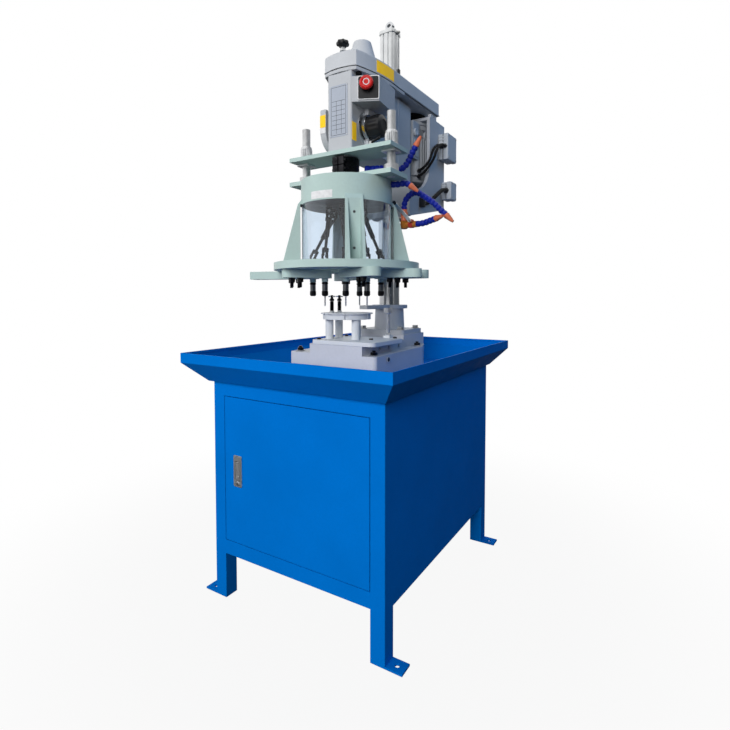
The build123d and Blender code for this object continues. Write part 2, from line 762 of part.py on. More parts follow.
# Column foot: bolted flange, tapered body, collar and a support arm towards the work
def column_foot():
    z0 = COLUMN_PAD_Z
    body_z = z0 + FOOT_FLANGE_H
    collar_z = body_z + FOOT_BODY_H
    top_z = collar_z + COLLAR_H
    foot = Pos(0, COLUMN_Y, 0) * rounded_block(2 * FOOT_HALF_X, 2 * FOOT_HALF_Y, FOOT_CORNER_R, z0, body_z)
    foot += Pos(0, COLUMN_Y, (body_z + collar_z) / 2) * Cone(FOOT_BODY_R, FOOT_NECK_R, FOOT_BODY_H)
    foot += post(0, COLUMN_Y, collar_z, top_z, COLLAR_R)
    tip_y = COLUMN_Y - SUPPORT_ARM_LENGTH
    root, tip = SUPPORT_ARM_ROOT, SUPPORT_ARM_TIP
    foot += prism(((-root, COLUMN_Y), (-tip, tip_y), (tip, tip_y), (root, COLUMN_Y)), collar_z, top_z)
    foot -= post(0, COLUMN_Y, z0, top_z, COLUMN_R + COLUMN_FIT)
    for x, y in foot_bolt_places():
        foot -= post(x, y, z0, body_z, BOLT_R + BOLT_HOLE_CLEAR)
    return foot


def column():
    pillar = post(0, COLUMN_Y, COLUMN_PAD_Z, CASING_TOP_Z, COLUMN_R)
    return pillar + post(0, COLUMN_Y, CASING_TOP_Z, COLUMN_TOP_Z, COLUMN_STEM_R)


# Work fixture: plate, ring table on posts with a hole under each drill, locators and a stop post
def fixture_plate():
    size_x = FIXTURE_RIGHT_X - FIXTURE_LEFT_X
    size_y = FIXTURE_FRONT + FIXTURE_REAR
    middle_y = AXIS_Y + (FIXTURE_REAR - FIXTURE_FRONT) / 2
    middle = Pos((FIXTURE_LEFT_X + FIXTURE_RIGHT_X) / 2, middle_y, 0)
    return middle * rounded_block(size_x, size_y, FIXTURE_CORNER_R, PAD_Z, FIXTURE_Z)


def fixture_table():
    ring_z = FIXTURE_Z + TABLE_POST_H
    top_z = ring_z + TABLE_RING_H
    table = post(0, AXIS_Y, ring_z, top_z, TABLE_R)
    table += post(0, AXIS_Y, top_z, TABLE_Z, TABLE_TOP_R)
    table -= post(0, AXIS_Y, ring_z, TABLE_Z, TABLE_HOLE_R)
    for angle in TABLE_POST_ANGLES:
        x = TABLE_POST_CIRCLE * math.cos(math.radians(angle))
        y = AXIS_Y + TABLE_POST_CIRCLE * math.sin(math.radians(angle))
        table += post(x, y, FIXTURE_Z, ring_z, TABLE_POST_R)
    for (x, y), end, drill in SPINDLES:
        if drill:
            table -= post(x, AXIS_Y + y, ring_z, TABLE_Z, DRILL_R + TABLE_DRILL_ROOM)
    return table


def work_locators():
    solids = []
    for dx, dy in LOCATOR_PLACES:
        x, y = dx, AXIS_Y + dy
        top_z = TABLE_Z + LOCATOR_H
        locator = post(x, y, TABLE_Z, top_z, LOCATOR_R)
        bar_z = top_z - 2 * LOCATOR_BAR_R
        locator += rod((x - LOCATOR_BAR_REACH, y, bar_z), (x + LOCATOR_BAR_REACH, y, bar_z), LOCATOR_BAR_R)
        solids.append(locator)
    x, y = STOP_X, AXIS_Y + STOP_Y
    half = STOP_FOOT / 2
    foot_z = FIXTURE_Z + STOP_FOOT_H
    top_z = FIXTURE_Z + STOP_H
    stop = block(x - half, x + half, y - half, y + half, FIXTURE_Z, foot_z)
    stop += post(x, y, foot_z, top_z - STOP_HEAD_H, STOP_R)
    stop += Pos(x, y, top_z - STOP_HEAD_H / 2) * Cone(STOP_R, STOP_HEAD_R, STOP_HEAD_H)
    return solids + [stop]


# Belt cover outline, seen from above, drawn inset by a given amount
def lid_outline(inset):
    front_x = LID_FRONT_X - inset
    front_y = AXIS_Y - LID_FRONT + inset
    bow_y = front_y - LID_BOW
    side_x = LID_SIDE_X - inset
    side_y = AXIS_Y + LID_SIDE_Y
    end_x = LID_SIDE_END_X - inset
    end_y = AXIS_Y + LID_SIDE_END_Y
    rear_x = LID_REAR_X - inset
    rear_y = MOTOR_Y + LID_REAR - inset
    edges = ThreePointArc((-front_x, front_y), (0, bow_y), (front_x, front_y))
    edges += ThreePointArc((front_x, front_y), (side_x, side_y), (end_x, end_y))
    edges += Line((end_x, end_y), (rear_x, rear_y))
    edges += Line((rear_x, rear_y), (-rear_x, rear_y))
    edges += Line((-rear_x, rear_y), (-end_x, end_y))
    edges += ThreePointArc((-end_x, end_y), (-side_x, side_y), (-front_x, front_y))
    return make_face(edges)


def belt_cover():
    lid = extrude(Pos(0, 0, LID_Z) * lid_outline(0), LID_H, dir=UP)
    lid = fillet(lid.faces().sort_by(Axis.Z)[-1].edges(), LID_EDGE_R)
    dome_y = AXIS_Y + DOME_Y
    lid += Pos(0, dome_y, LID_TOP_Z + DOME_H / 2) * Cone(DOME_R, DOME_TOP_R, DOME_H)
    lid -= extrude(Pos(0, 0, LID_Z) * lid_outline(LID_WALL), LID_H - LID_WALL, dir=UP)
    dome_hollow = Cone(DOME_R - LID_WALL, DOME_TOP_R - LID_WALL, DOME_H - LID_WALL)
    lid -= Pos(0, dome_y, LID_TOP_Z + (DOME_H - LID_WALL) / 2) * dome_hollow
    lid -= post(0, dome_y, LID_TOP_Z - LID_WALL, LID_TOP_Z, DOME_R - LID_WALL)
    lid -= post(0, COLUMN_Y, LID_Z, LID_TOP_Z, COLUMN_STEM_R + LID_COLUMN_GAP)
    return lid - post(0, AXIS_Y - KNOB_Y, LID_Z, LID_TOP_Z, KNOB_STEM_R + KNOB_FIT)


def cover_knob():
    x, y = 0, AXIS_Y - KNOB_Y
    head_z = LID_TOP_Z + KNOB_STEM_H
    knob = post(x, y, LID_TOP_Z - 2 * LID_WALL, head_z, KNOB_STEM_R)
    knob += post(x, y, head_z, head_z + KNOB_H, KNOB_R)
    for lobe in range(KNOB_LOBES):
        angle = math.radians(360 * lobe / KNOB_LOBES)
        at_x, at_y = x + KNOB_R * math.cos(angle), y + KNOB_R * math.sin(angle)
        knob += post(at_x, at_y, head_z, head_z + KNOB_H, KNOB_LOBE_R)
    return knob


# Head casting: quill casing, neck, column boss and belt pan in one piece
def head_casting():
    front_y = CASING_FRONT_Y
    casing = block(-CASING_HALF_X, CASING_HALF_X, front_y, AXIS_Y + CASING_FRONT, HEAD_Z, CASING_TOP_Z)
    casing = fillet(casing.edges().filter_by(Axis.Z).group_by(Axis.Y)[0], CASING_EDGE_R)
    neck = block(-NECK_HALF_X, NECK_HALF_X, NECK_FRONT_Y, COLUMN_Y, HEAD_Z + NECK_UP, CASING_TOP_Z)
    boss_y0 = COLUMN_Y - BOSS_HALF_Y
    boss_y1 = COLUMN_Y + BOSS_HALF_Y
    boss = block(-BOSS_HALF_X, BOSS_HALF_X, boss_y0, boss_y1, BOSS_Z, CASING_TOP_Z)
    boss = fillet(boss.edges().filter_by(Axis.Z), BOSS_EDGE_R)
    front_half = Pos(0, COLUMN_Y - PAN_END - PLAN_REACH / 2) * Rectangle(PLAN_REACH, PLAN_REACH)
    pan_face = lid_outline(0) & front_half
    pan = extrude(Pos(0, 0, CASING_TOP_Z) * pan_face, PAN_H, dir=UP)
    pan += extrude(Pos(0, 0, LID_Z - PAN_FLOOR) * lid_outline(PAN_FLOOR_INSET), PAN_FLOOR, dir=UP)
    casting = casing + neck + boss + pan
    casting -= post(0, MOTOR_Y, LID_Z - PAN_FLOOR, LID_Z, MOTOR_SHAFT_R + PAN_SHAFT_GAP)
    quill_top = NECK_TOP_Z + QUILL_H + QUILL_TOP_ROOM
    casting -= post(0, AXIS_Y, HEAD_Z, quill_top, QUILL_R + RUN_FIT)
    casting -= post(0, AXIS_Y, quill_top, LID_Z, SLEEVE_R + RUN_FIT)
    casting -= post(0, COLUMN_Y, BOSS_Z, CASING_TOP_Z, COLUMN_R + COLUMN_FIT)
    casting -= post(0, COLUMN_Y, CASING_TOP_Z, LID_Z, COLUMN_STEM_R + LID_COLUMN_GAP)
    casting -= post(0, AXIS_Y - KNOB_Y, LID_Z - PAN_H, LID_Z, KNOB_STEM_R + KNOB_FIT)
    pocket = rod((-PINION_HALF - PINION_ROOM, PINION_Y, DIAL_Z), (NECK_HALF_X, PINION_Y, DIAL_Z), JOURNAL_R)
    return casting - pocket


# Return spring cover on the casing's left side: square above, round below
def side_cover():
    x1 = -NECK_HALF_X
    x0 = x1 - SIDE_COVER_X
    y = AXIS_Y + SIDE_COVER_Y
    z = HEAD_Z + SIDE_COVER_Z
    cover = rod((x0, y, z), (x1, y, z), SIDE_COVER_R)
    cover += block(x0, x1, y - SIDE_COVER_R, y + SIDE_COVER_R, z, z + SIDE_COVER_RISE)
    cover = fillet(cover.edges().filter_by(Plane.YZ).group_by(Axis.X)[0], SIDE_COVER_EDGE_R)
    seat = rod((x1, y, z), (-CASING_HALF_X, y, z), SIDE_COVER_SEAT_R)
    return cover + (seat - block(-NECK_HALF_X, 0, NECK_FRONT_Y, COLUMN_Y, HEAD_Z, CASING_TOP_Z))


# Emergency stop box: hollow, open towards the casing, its front face turned to the right
def stop_box_corners(inset):
    angle = math.radians(STOP_BOX_ANGLE)
    x0, y0 = CASING_HALF_X, CASING_FRONT_Y
    x1, y1 = x0 + STOP_BOX_FACE * math.cos(angle), y0 + STOP_BOX_FACE * math.sin(angle)
    x2, y2 = x1 - STOP_BOX_INWARD, y1 + STOP_BOX_DEPTH
    shift = inset / math.cos(angle)
    right_y = y1 + shift - inset * math.tan(angle)
    return (x0, y0 + shift), (x1 - inset, right_y), (x2 - inset, y2 - inset), (x0, y2 - inset)


def stop_box_point(along, up, out):
    angle = math.radians(STOP_BOX_ANGLE)
    x = CASING_HALF_X + along * math.cos(angle) + out * math.sin(angle)
    y = CASING_FRONT_Y + along * math.sin(angle) - out * math.cos(angle)
    return x, y, HEAD_Z + STOP_BOX_Z + up


def estop_box():
    z0 = HEAD_Z + STOP_BOX_Z
    z1 = z0 + STOP_BOX_H
    wall = STOP_BOX_WALL
    box = prism(stop_box_corners(0), z0, z1)
    neck_side = block(0, NECK_HALF_X, NECK_FRONT_Y, COLUMN_Y, z0, z1)
    box -= prism(stop_box_corners(wall), z0 + wall, z1 - wall)
    inside = stop_box_point(BUTTON_ALONG, BUTTON_UP, -2 * wall)
    box -= rod(stop_box_point(BUTTON_ALONG, BUTTON_UP, 0), inside, BUTTON_STEM_R)
    return box - neck_side


def estop_button():
    stem_in = stop_box_point(BUTTON_ALONG, BUTTON_UP, -BUTTON_STEM_IN)
    neck = stop_box_point(BUTTON_ALONG, BUTTON_UP, BUTTON_GAP)
    rim = stop_box_point(BUTTON_ALONG, BUTTON_UP, BUTTON_GAP + BUTTON_HEAD_H / 2)
    face = stop_box_point(BUTTON_ALONG, BUTTON_UP, BUTTON_GAP + BUTTON_HEAD_H)
    button = rod(stem_in, neck, BUTTON_STEM_R - RUN_FIT)
    button += rod(neck, rim, BUTTON_HEAD_R)
    return button + rod(rim, face, BUTTON_HEAD_R, BUTTON_FACE_R)


# Feed cylinder: grooved square barrel between two end caps, with a mounting eye on top
def feed_cylinder():
    z0 = COLUMN_TOP_Z
    z1 = z0 + CYLINDER_H
    cap_r = CYLINDER_CORNER_R
    barrel = rounded_block(CYLINDER_SIDE, CYLINDER_SIDE, cap_r, z0 + CYLINDER_CAP_H, z1 - CYLINDER_CAP_H)
    half = CYLINDER_SIDE / 2
    groove = CYLINDER_GROOVE
    for side in range(4):
        slot = block(half - groove, half, -groove / 2, groove / 2, z0 + CYLINDER_CAP_H, z1 - CYLINDER_CAP_H)
        barrel -= Rot(0, 0, 90 * side) * slot
    for low in (z0, z1 - CYLINDER_CAP_H):
        barrel += rounded_block(CYLINDER_CAP_SIDE, CYLINDER_CAP_SIDE, cap_r, low, low + CYLINDER_CAP_H)
    eye_z = z1 + EYE_UP
    front, back = (0, -EYE_THICK / 2, eye_z), (0, EYE_THICK / 2, eye_z)
    barrel += block(-EYE_R, EYE_R, -EYE_THICK / 2, EYE_THICK / 2, z1, eye_z)
    barrel += rod(front, back, EYE_R)
    barrel -= rod(front, back, EYE_HOLE_R)
    return Pos(0, COLUMN_Y, 0) * barrel


# Motor bracket: ring on the column, floor, two curved cheeks, back and top plate
def motor_bracket():
    z0 = BRACKET_Z
    top_z = BRACKET_TOP_Z
    rear_y = MOTOR_Y + BRACKET_REAR
    leg_y = MOTOR_Y - BRACKET_LEG_FRONT
    toe_y = leg_y - BRACKET_CURVE_R
    front_y = COLUMN_Y - BRACKET_FRONT
    half = BRACKET_HALF_X
    low_z = z0 - BRACKET_DROP
    foot_z = z0 + BRACKET_FLOOR + BRACKET_TOE
    curve_z = foot_z + BRACKET_CURVE_R
    bend = BRACKET_CURVE_R * math.cos(math.radians(45))
    profile = Line((front_y, low_z), (rear_y, z0)) + Line((rear_y, z0), (rear_y, top_z))
    profile += Line((rear_y, top_z), (leg_y, top_z)) + Line((leg_y, top_z), (leg_y, curve_z))
    profile += ThreePointArc((leg_y, curve_z), (toe_y + bend, curve_z - bend), (toe_y, foot_z))
    profile += Line((toe_y, foot_z), (front_y, foot_z)) + Line((front_y, foot_z), (front_y, low_z))
    cheek_face = make_face(profile)
    bracket = post(0, COLUMN_Y, low_z, z0 + BRACKET_RING_H, BRACKET_RING_R)
    bracket += block(-half, half, front_y, front_y + BRACKET_WEB, low_z, foot_z)
    bracket += block(-half, half, front_y, rear_y, z0, z0 + BRACKET_FLOOR)
    bracket += block(-half, half, rear_y - BRACKET_CHEEK, rear_y, z0, top_z)
    bracket += block(-half, half, leg_y, rear_y, top_z - BRACKET_TOP, top_z)
    for x in (-half, half - BRACKET_CHEEK):
        plane = Plane(origin=(x, 0, 0), x_dir=(0, 1, 0), z_dir=(1, 0, 0))
        bracket += extrude(plane * cheek_face, BRACKET_CHEEK, dir=(1, 0, 0))
    lug_y = MOTOR_Y - LUG_FRONT
    lug = block(half - BRACKET_CHEEK, half, lug_y, lug_y + LUG_LENGTH, top_z, top_z + LUG_H)
    hole_y = lug_y + LUG_LENGTH / 2
    hole_z = top_z + LUG_H / 2
    lug -= rod((half - BRACKET_CHEEK, hole_y, hole_z), (half, hole_y, hole_z), LUG_HOLE_R)
    bracket += lug
    bracket -= post(0, COLUMN_Y, low_z, z0 + BRACKET_RING_H, COLUMN_R + COLUMN_FIT)
    return bracket - post(0, MOTOR_Y, top_z - BRACKET_TOP, top_z, REGISTER_R)


def gland_face(up):
    angle = math.radians(GLAND_ANGLE)
    return GLAND_FACE_R * math.cos(angle), MOTOR_Y + GLAND_FACE_R * math.sin(angle), BRACKET_Z + up


def motor():
    top_z = BRACKET_TOP_Z - BRACKET_TOP
    flange_z = top_z - MOTOR_FLANGE_H
    low_z = flange_z - MOTOR_H
    body = post(0, MOTOR_Y, flange_z, top_z, MOTOR_FLANGE_R)
    body += post(0, MOTOR_Y, low_z, flange_z, MOTOR_R)
    mount_y = MOTOR_Y - MOUNT_FRONT
    body += block(-MOUNT_HALF_X, MOUNT_HALF_X, mount_y, MOTOR_Y, flange_z - MOUNT_H, flange_z)
    body += post(0, MOTOR_Y, low_z - FAN_COVER_H, low_z, FAN_COVER_R)
    for up in GLAND_UP:
        body += rod((0, MOTOR_Y, BRACKET_Z + up), gland_face(up), GLAND_R)
    return body - post(0, MOTOR_Y, top_z - MOTOR_SHAFT_IN, top_z, MOTOR_SHAFT_R + RUN_FIT)


def terminal_boxes():
    x0 = BRACKET_HALF_X
    solids = []
    for (size_x, size_y, size_z), (back, up) in ((BOX_UPPER, BOX_UPPER_AT), (BOX_LOWER, BOX_LOWER_AT)):
        y0 = MOTOR_Y + back
        z0 = BRACKET_Z + up
        box = block(x0, x0 + size_x, y0, y0 + size_y, z0, z0 + size_z)
        solids.append(fillet(box.edges().group_by(Axis.X)[-1], BOX_CORNER_R))
    size_x, size_y, size_z = CLIP
    clip_y = MOTOR_Y + CLIP_FRONT
    clip_z = BRACKET_Z + CLIP_UP
    return solids + [block(x0, x0 + size_x, clip_y, clip_y + size_y, clip_z, clip_z + size_z)]


def belt_loop(offset_r):
    spindle_r = SPINDLE_PULLEY_R + offset_r
    motor_r = MOTOR_PULLEY_R + offset_r
    reach = MOTOR_Y - AXIS_Y
    lean = math.asin((motor_r - spindle_r) / reach)
    run_x, run_y = math.cos(lean), -math.sin(lean)
    corners = (
        (spindle_r * run_x, AXIS_Y + spindle_r * run_y), (motor_r * run_x, MOTOR_Y + motor_r * run_y),
        (-motor_r * run_x, MOTOR_Y + motor_r * run_y), (-spindle_r * run_x, AXIS_Y + spindle_r * run_y),
    )
    loop = Polygon(*corners, align=None)
    loop += Pos(0, AXIS_Y) * Circle(spindle_r)
    return loop + Pos(0, MOTOR_Y) * Circle(motor_r)


def drive_belt():
    band = belt_loop(BELT_THICK / 2) - belt_loop(-BELT_THICK / 2)
    return extrude(Pos(0, 0, BELT_Z) * band, BELT_H, dir=UP)


def pulley(y, pitch_r):
    low_z = BELT_Z - BELT_GAP - PULLEY_FLANGE_H
    high_z = BELT_Z + BELT_H + BELT_GAP
    wheel = post(0, y, low_z, high_z + PULLEY_FLANGE_H, pitch_r - BELT_THICK / 2 - BELT_GAP)
    wheel += post(0, y, low_z, low_z + PULLEY_FLANGE_H, pitch_r + PULLEY_RIM)
    return wheel + post(0, y, high_z, high_z + PULLEY_FLANGE_H, pitch_r + PULLEY_RIM)


def motor_pulley():
    shaft_z = BRACKET_TOP_Z - BRACKET_TOP - MOTOR_SHAFT_IN
    return pulley(MOTOR_Y, MOTOR_PULLEY_R) + post(0, MOTOR_Y, shaft_z, BELT_Z, MOTOR_SHAFT_R)


def spindle_pulley():
    low_z = BELT_Z - BELT_GAP - PULLEY_FLANGE_H
    wheel = pulley(AXIS_Y, SPINDLE_PULLEY_R) + post(0, AXIS_Y, low_z - SLEEVE_H, low_z, SLEEVE_R)
    return wheel - post(0, AXIS_Y, low_z - SLEEVE_H, LID_TOP_Z, SHAFT_R + RUN_FIT)


# A path of straight runs joined by the largest tangent arcs that the runs allow
def soft_path(points):
    radii = []
    for before, corner, after in zip(points, points[1:], points[2:]):
        one = Vector(*corner) - Vector(*before)
        two = Vector(*after) - Vector(*corner)
        half_turn = math.radians(one.get_angle(two)) / 2
        radii.append(ARC_SHARE * min(one.length, two.length) / math.tan(half_turn))
    path = FilletPolyline(*points, radius=radii)
    print("radii", [round(value) for value in radii], "length", round(path.length))
    return path


def cable(points, radius):
    start = Plane(origin=points[0], z_dir=Vector(*points[1]) - Vector(*points[0]))
    return sweep(start * Circle(radius), path=soft_path(points))


# Two cables from the upper terminal box to the motor, and a lead from the lower box to its clip
def motor_cables():
    x0 = BRACKET_HALF_X
    upper_y = MOTOR_Y + BOX_UPPER_AT[0]
    upper_z = BRACKET_Z + BOX_UPPER_AT[1] + BOX_UPPER[2] / 2
    solids = []
    for out, up in zip(CABLE_X, GLAND_UP):
        x = x0 + out
        end_x, end_y, end_z = gland_face(up)
        near_x = end_x + GLAND_RUN * math.cos(math.radians(GLAND_ANGLE))
        near_y = end_y + GLAND_RUN * math.sin(math.radians(GLAND_ANGLE))
        hang_x, hang_y, hang_z = x - 5, upper_y - 83, upper_z - 62
        points = (
            (x, upper_y, upper_z), (x, upper_y - EXIT_RUN, upper_z), (x, upper_y - 54, upper_z - 14),
            (x - 2, upper_y - 73, upper_z - 36), (hang_x, hang_y, hang_z),
            ((hang_x + near_x) / 2 + 3, (hang_y + near_y) / 2 - 2, (hang_z + end_z) / 2 - 4),
            (near_x, near_y, end_z), (end_x, end_y, end_z),
        )
        solids.append(cable(points, CABLE_R))
    lead_y = MOTOR_Y + BOX_LOWER_AT[0]
    lead_z = BRACKET_Z + BOX_LOWER_AT[1] + BOX_LOWER[2] / 2
    clip_y = MOTOR_Y + CLIP_FRONT + CLIP[1]
    clip_x = x0 + CLIP[0] / 2
    clip_z = BRACKET_Z + CLIP_UP + CLIP[2] / 2
    points = (
        (x0 + 20, lead_y, lead_z), (x0 + 20, lead_y - LEAD_RUN, lead_z), (x0 + 20, lead_y - 48, lead_z - 10),
        (x0 + 20, lead_y - 75, lead_z - 25), (x0 + 18, clip_y + 72, clip_z + 29),
        (x0 + 13, clip_y + 46, clip_z + 11), (clip_x, clip_y + LEAD_RUN, clip_z), (clip_x, clip_y, clip_z),
    )
    return solids + [cable(points, LEAD_R)]


# Guide plate under the casing and the two bushes in it
def guide_plate():
    half_y = PLATE_DEPTH / 2
    plate = block(-PLATE_HALF_X, PLATE_HALF_X, AXIS_Y - half_y, AXIS_Y + half_y, GUIDE_PLATE_Z, HEAD_Z)
    plate -= post(0, AXIS_Y, GUIDE_PLATE_Z, HEAD_Z, QUILL_R + QUILL_PLATE_GAP)
    for x in (-GUIDE_X, GUIDE_X):
        plate -= post(x, AXIS_Y, GUIDE_PLATE_Z, HEAD_Z, BUSH_R + CLAMP_FIT)
    return plate


def guide_bushes():
    solids = []
    for x in (-GUIDE_X, GUIDE_X):
        low_z = GUIDE_PLATE_Z - BUSH_FLANGE_H
        top_z = HEAD_Z + BUSH_ABOVE
        half = BUSH_FLANGE_HALF
        bush = post(x, AXIS_Y, low_z, top_z, BUSH_R)
        bush += block(x - half, x + half, AXIS_Y - half, AXIS_Y + half, low_z, GUIDE_PLATE_Z)
        solids.append(bush - post(x, AXIS_Y, low_z, top_z, GUIDE_POST_R + RUN_FIT))
    return solids


# Quill with its rack, and the pinion shaft that carries the feed dial
def quill():
    z0 = NECK_TOP_Z
    z1 = z0 + QUILL_H
    pitch = math.pi * PINION_MODULE
    root = RACK_PITCH_LINE - TOOTH_ROOT * PINION_MODULE
    tip = RACK_PITCH_LINE + TOOTH_TIP * PINION_MODULE
    low = DIAL_Z - (RACK_BELOW + 0.5) * pitch
    body = post(0, AXIS_Y, z0, z1, QUILL_R)
    body -= post(0, AXIS_Y, z0, z1, SHAFT_R + RUN_FIT)
    body -= post(0, AXIS_Y, z0 + QUILL_LAND_H, z1 - QUILL_LAND_H, QUILL_BORE_R)
    slot_y = AXIS_Y + root
    slot_z = low - pitch
    slot_top = low + RACK_TEETH * pitch
    body -= block(-RACK_SLOT_HALF, RACK_SLOT_HALF, slot_y, AXIS_Y + QUILL_R, slot_z, slot_top)
    half = pitch / 4 - GEAR_BACKLASH / 2
    slope = math.tan(math.radians(PRESSURE_ANGLE))
    root_half = half + (RACK_PITCH_LINE - root) * slope
    tip_half = half - (tip - RACK_PITCH_LINE) * slope
    side = Plane(origin=(-RACK_SLOT_HALF, 0, 0), x_dir=(0, 1, 0), z_dir=(1, 0, 0))
    for tooth in range(RACK_TEETH):
        z = low + tooth * pitch
        outline = (
            (slot_y, z - root_half), (AXIS_Y + tip, z - tip_half),
            (AXIS_Y + tip, z + tip_half), (slot_y, z + root_half),
        )
        body += extrude(side * Polygon(*outline, align=None), 2 * RACK_SLOT_HALF, dir=(1, 0, 0))
    return body


def feed_dial():
    gear_plane = Plane(origin=(-PINION_HALF, PINION_Y, DIAL_Z), x_dir=(0, 1, 0), z_dir=(1, 0, 0))
    face_x = NECK_HALF_X + DIAL_GAP
    ring_x = face_x + DIAL_H
    hub_x = ring_x + DIAL_HUB_H
    pinion = gear_outline(PINION_MODULE, PINION_TEETH, 180)
    dial = extrude(gear_plane * pinion, 2 * PINION_HALF, dir=(1, 0, 0))
    dial += rod((PINION_HALF, PINION_Y, DIAL_Z), (JOURNAL_START, PINION_Y, DIAL_Z), PINION_NECK_R)
    dial += rod((JOURNAL_START, PINION_Y, DIAL_Z), (face_x, PINION_Y, DIAL_Z), JOURNAL_R - RUN_FIT)
    dial += rod((face_x, PINION_Y, DIAL_Z), (ring_x, PINION_Y, DIAL_Z), DIAL_R)
    return dial + rod((ring_x, PINION_Y, DIAL_Z), (hub_x, PINION_Y, DIAL_Z), DIAL_HUB_R)


# Top plate of the multi-spindle head: bar, spigot that closes the drum, and neck
def head_top_plate():
    half_y = PLATE_DEPTH / 2
    plate = block(-PLATE_HALF_X, PLATE_HALF_X, AXIS_Y - half_y, AXIS_Y + half_y, TOP_PLATE_Z, TOP_PLATE_TOP_Z)
    plate += post(0, AXIS_Y, TOP_PLATE_Z - SPIGOT_H, TOP_PLATE_Z, DRUM_R - DRUM_WALL - CLAMP_FIT)
    plate += post(0, AXIS_Y, TOP_PLATE_TOP_Z, NECK_TOP_Z, NECK_R)
    plate -= post(0, AXIS_Y, TOP_PLATE_Z - SPIGOT_H, NECK_TOP_Z, NECK_BORE_R)
    for x in (-GUIDE_X, GUIDE_X):
        plate -= post(x, AXIS_Y, TOP_PLATE_Z, TOP_PLATE_TOP_Z, GUIDE_POST_R + CLAMP_FIT)
    return plate


def guide_posts():
    solids = []
    for x in (-GUIDE_X, GUIDE_X):
        pillar = post(x, AXIS_Y, TOP_PLATE_Z, TOP_PLATE_Z + GUIDE_POST_H, GUIDE_POST_R)
        collar_z = TOP_PLATE_TOP_Z + GUIDE_COLLAR_H
        solids.append(pillar + post(x, AXIS_Y, TOP_PLATE_TOP_Z, collar_z, GUIDE_COLLAR_R))
    return solids


# Clamp coupling: split ring that grips the neck and the quill
def clamp_coupling():
    z0 = NECK_TOP_Z - COUPLING_BELOW
    z1 = NECK_TOP_Z + COUPLING_ABOVE
    ring = post(0, AXIS_Y, z0, z1, COUPLING_R)
    lug_y = AXIS_Y - COUPLING_R - COUPLING_LUG_OUT
    ring += block(-COUPLING_LUG, COUPLING_LUG, lug_y, AXIS_Y, z0, z1)
    ring -= post(0, AXIS_Y, z0, NECK_TOP_Z, NECK_R + CLAMP_FIT)
    ring -= post(0, AXIS_Y, NECK_TOP_Z, z1, QUILL_R + CLAMP_FIT)
    split = COUPLING_SPLIT / 2
    return ring - block(-split, split, lug_y, AXIS_Y, z0, z1)


# Gear housing: drum with floor, four ribbed legs and ring flange, cast in one
def across_leg(outline, y0, y1):
    plane = Plane(origin=(0, y1, 0), x_dir=(1, 0, 0), z_dir=(0, -1, 0))
    return extrude(plane * Polygon(*outline, align=None), y1 - y0, dir=(0, -1, 0))


def leg(angle):
    root_z = DRUM_Z + LEG_ROOT_H
    root_x = DRUM_R - LEG_ROOT_IN
    root = ((DRUM_R, root_z), (root_x, root_z), (root_x, DRUM_Z), (LEG_IN_X, DRUM_Z), (LEG_IN_X, RING_TOP_Z))
    wall = ((LEG_FACE_X, RING_TOP_Z), (LEG_FACE_X, DRUM_Z)) + root
    rib = ((LEG_IN_X + RIB_REACH, RING_TOP_Z), (LEG_FACE_X, DRUM_Z)) + root
    shape = across_leg(wall, -LEG_HALF_W, LEG_HALF_W)
    for y in (-LEG_HALF_W, LEG_HALF_W - RIB_THICK):
        shape += across_leg(rib, y, y + RIB_THICK)
    return Pos(0, AXIS_Y, 0) * Rot(0, 0, angle) * shape


def planet_angle(number):
    return math.radians(FIRST_PLANET_ANGLE + 60.0 * number)


def planet_place(number):
    angle = planet_angle(number)
    return PLANET_CIRCLE_R * math.cos(angle), AXIS_Y + PLANET_CIRCLE_R * math.sin(angle)


def gear_housing():
    housing = post(0, AXIS_Y, DRUM_Z, TOP_PLATE_Z, DRUM_R)
    housing -= post(0, AXIS_Y, DRUM_Z + DRUM_FLOOR, TOP_PLATE_Z, DRUM_R - DRUM_WALL)
    flange = post(0, AXIS_Y, RING_Z, RING_TOP_Z, FLANGE_R)
    housing += flange - post(0, AXIS_Y, RING_Z, RING_TOP_Z, FLANGE_BORE_R)
    for angle in LEG_ANGLES:
        housing += leg(angle)
    floor_z = DRUM_Z + DRUM_FLOOR
    housing -= post(0, AXIS_Y, floor_z - SUN_STUB_IN - SUN_STUB_ROOM, floor_z, SUN_STUB_R + RUN_FIT)
    for number in range(len(SPINDLES)):
        housing -= post(*planet_place(number), DRUM_Z, floor_z, PLANET_SHAFT_R + RUN_FIT)
    for x, y in arm_bolt_places():
        housing -= post(x, y, RING_Z, RING_TOP_Z, ARM_BOLT_R + ARM_BOLT_CLEAR)
    return housing


def window_guard():
    z0 = RING_TOP_Z + GUARD_GAP
    z1 = DRUM_Z - GUARD_GAP
    return post(0, AXIS_Y, z0, z1, GUARD_R) - post(0, AXIS_Y, z0, z1, GUARD_R - GUARD_WALL)


# Spindle arms and the two clamp bolts of each, which stand at set distances from the head's axis
def arm_point(start, end, radius):
    along = Vector(end[0] - start[0], end[1] - start[1]).normalized()
    lead = start[0] * along.X + start[1] * along.Y
    reach = -lead + math.sqrt(lead ** 2 - start[0] ** 2 - start[1] ** 2 + radius ** 2)
    return start[0] + reach * along.X, AXIS_Y + start[1] + reach * along.Y


def arm_bolt_places():
    return [arm_point(start, end, radius) for start, end, drill in SPINDLES for radius in ARM_BOLT_RADII]


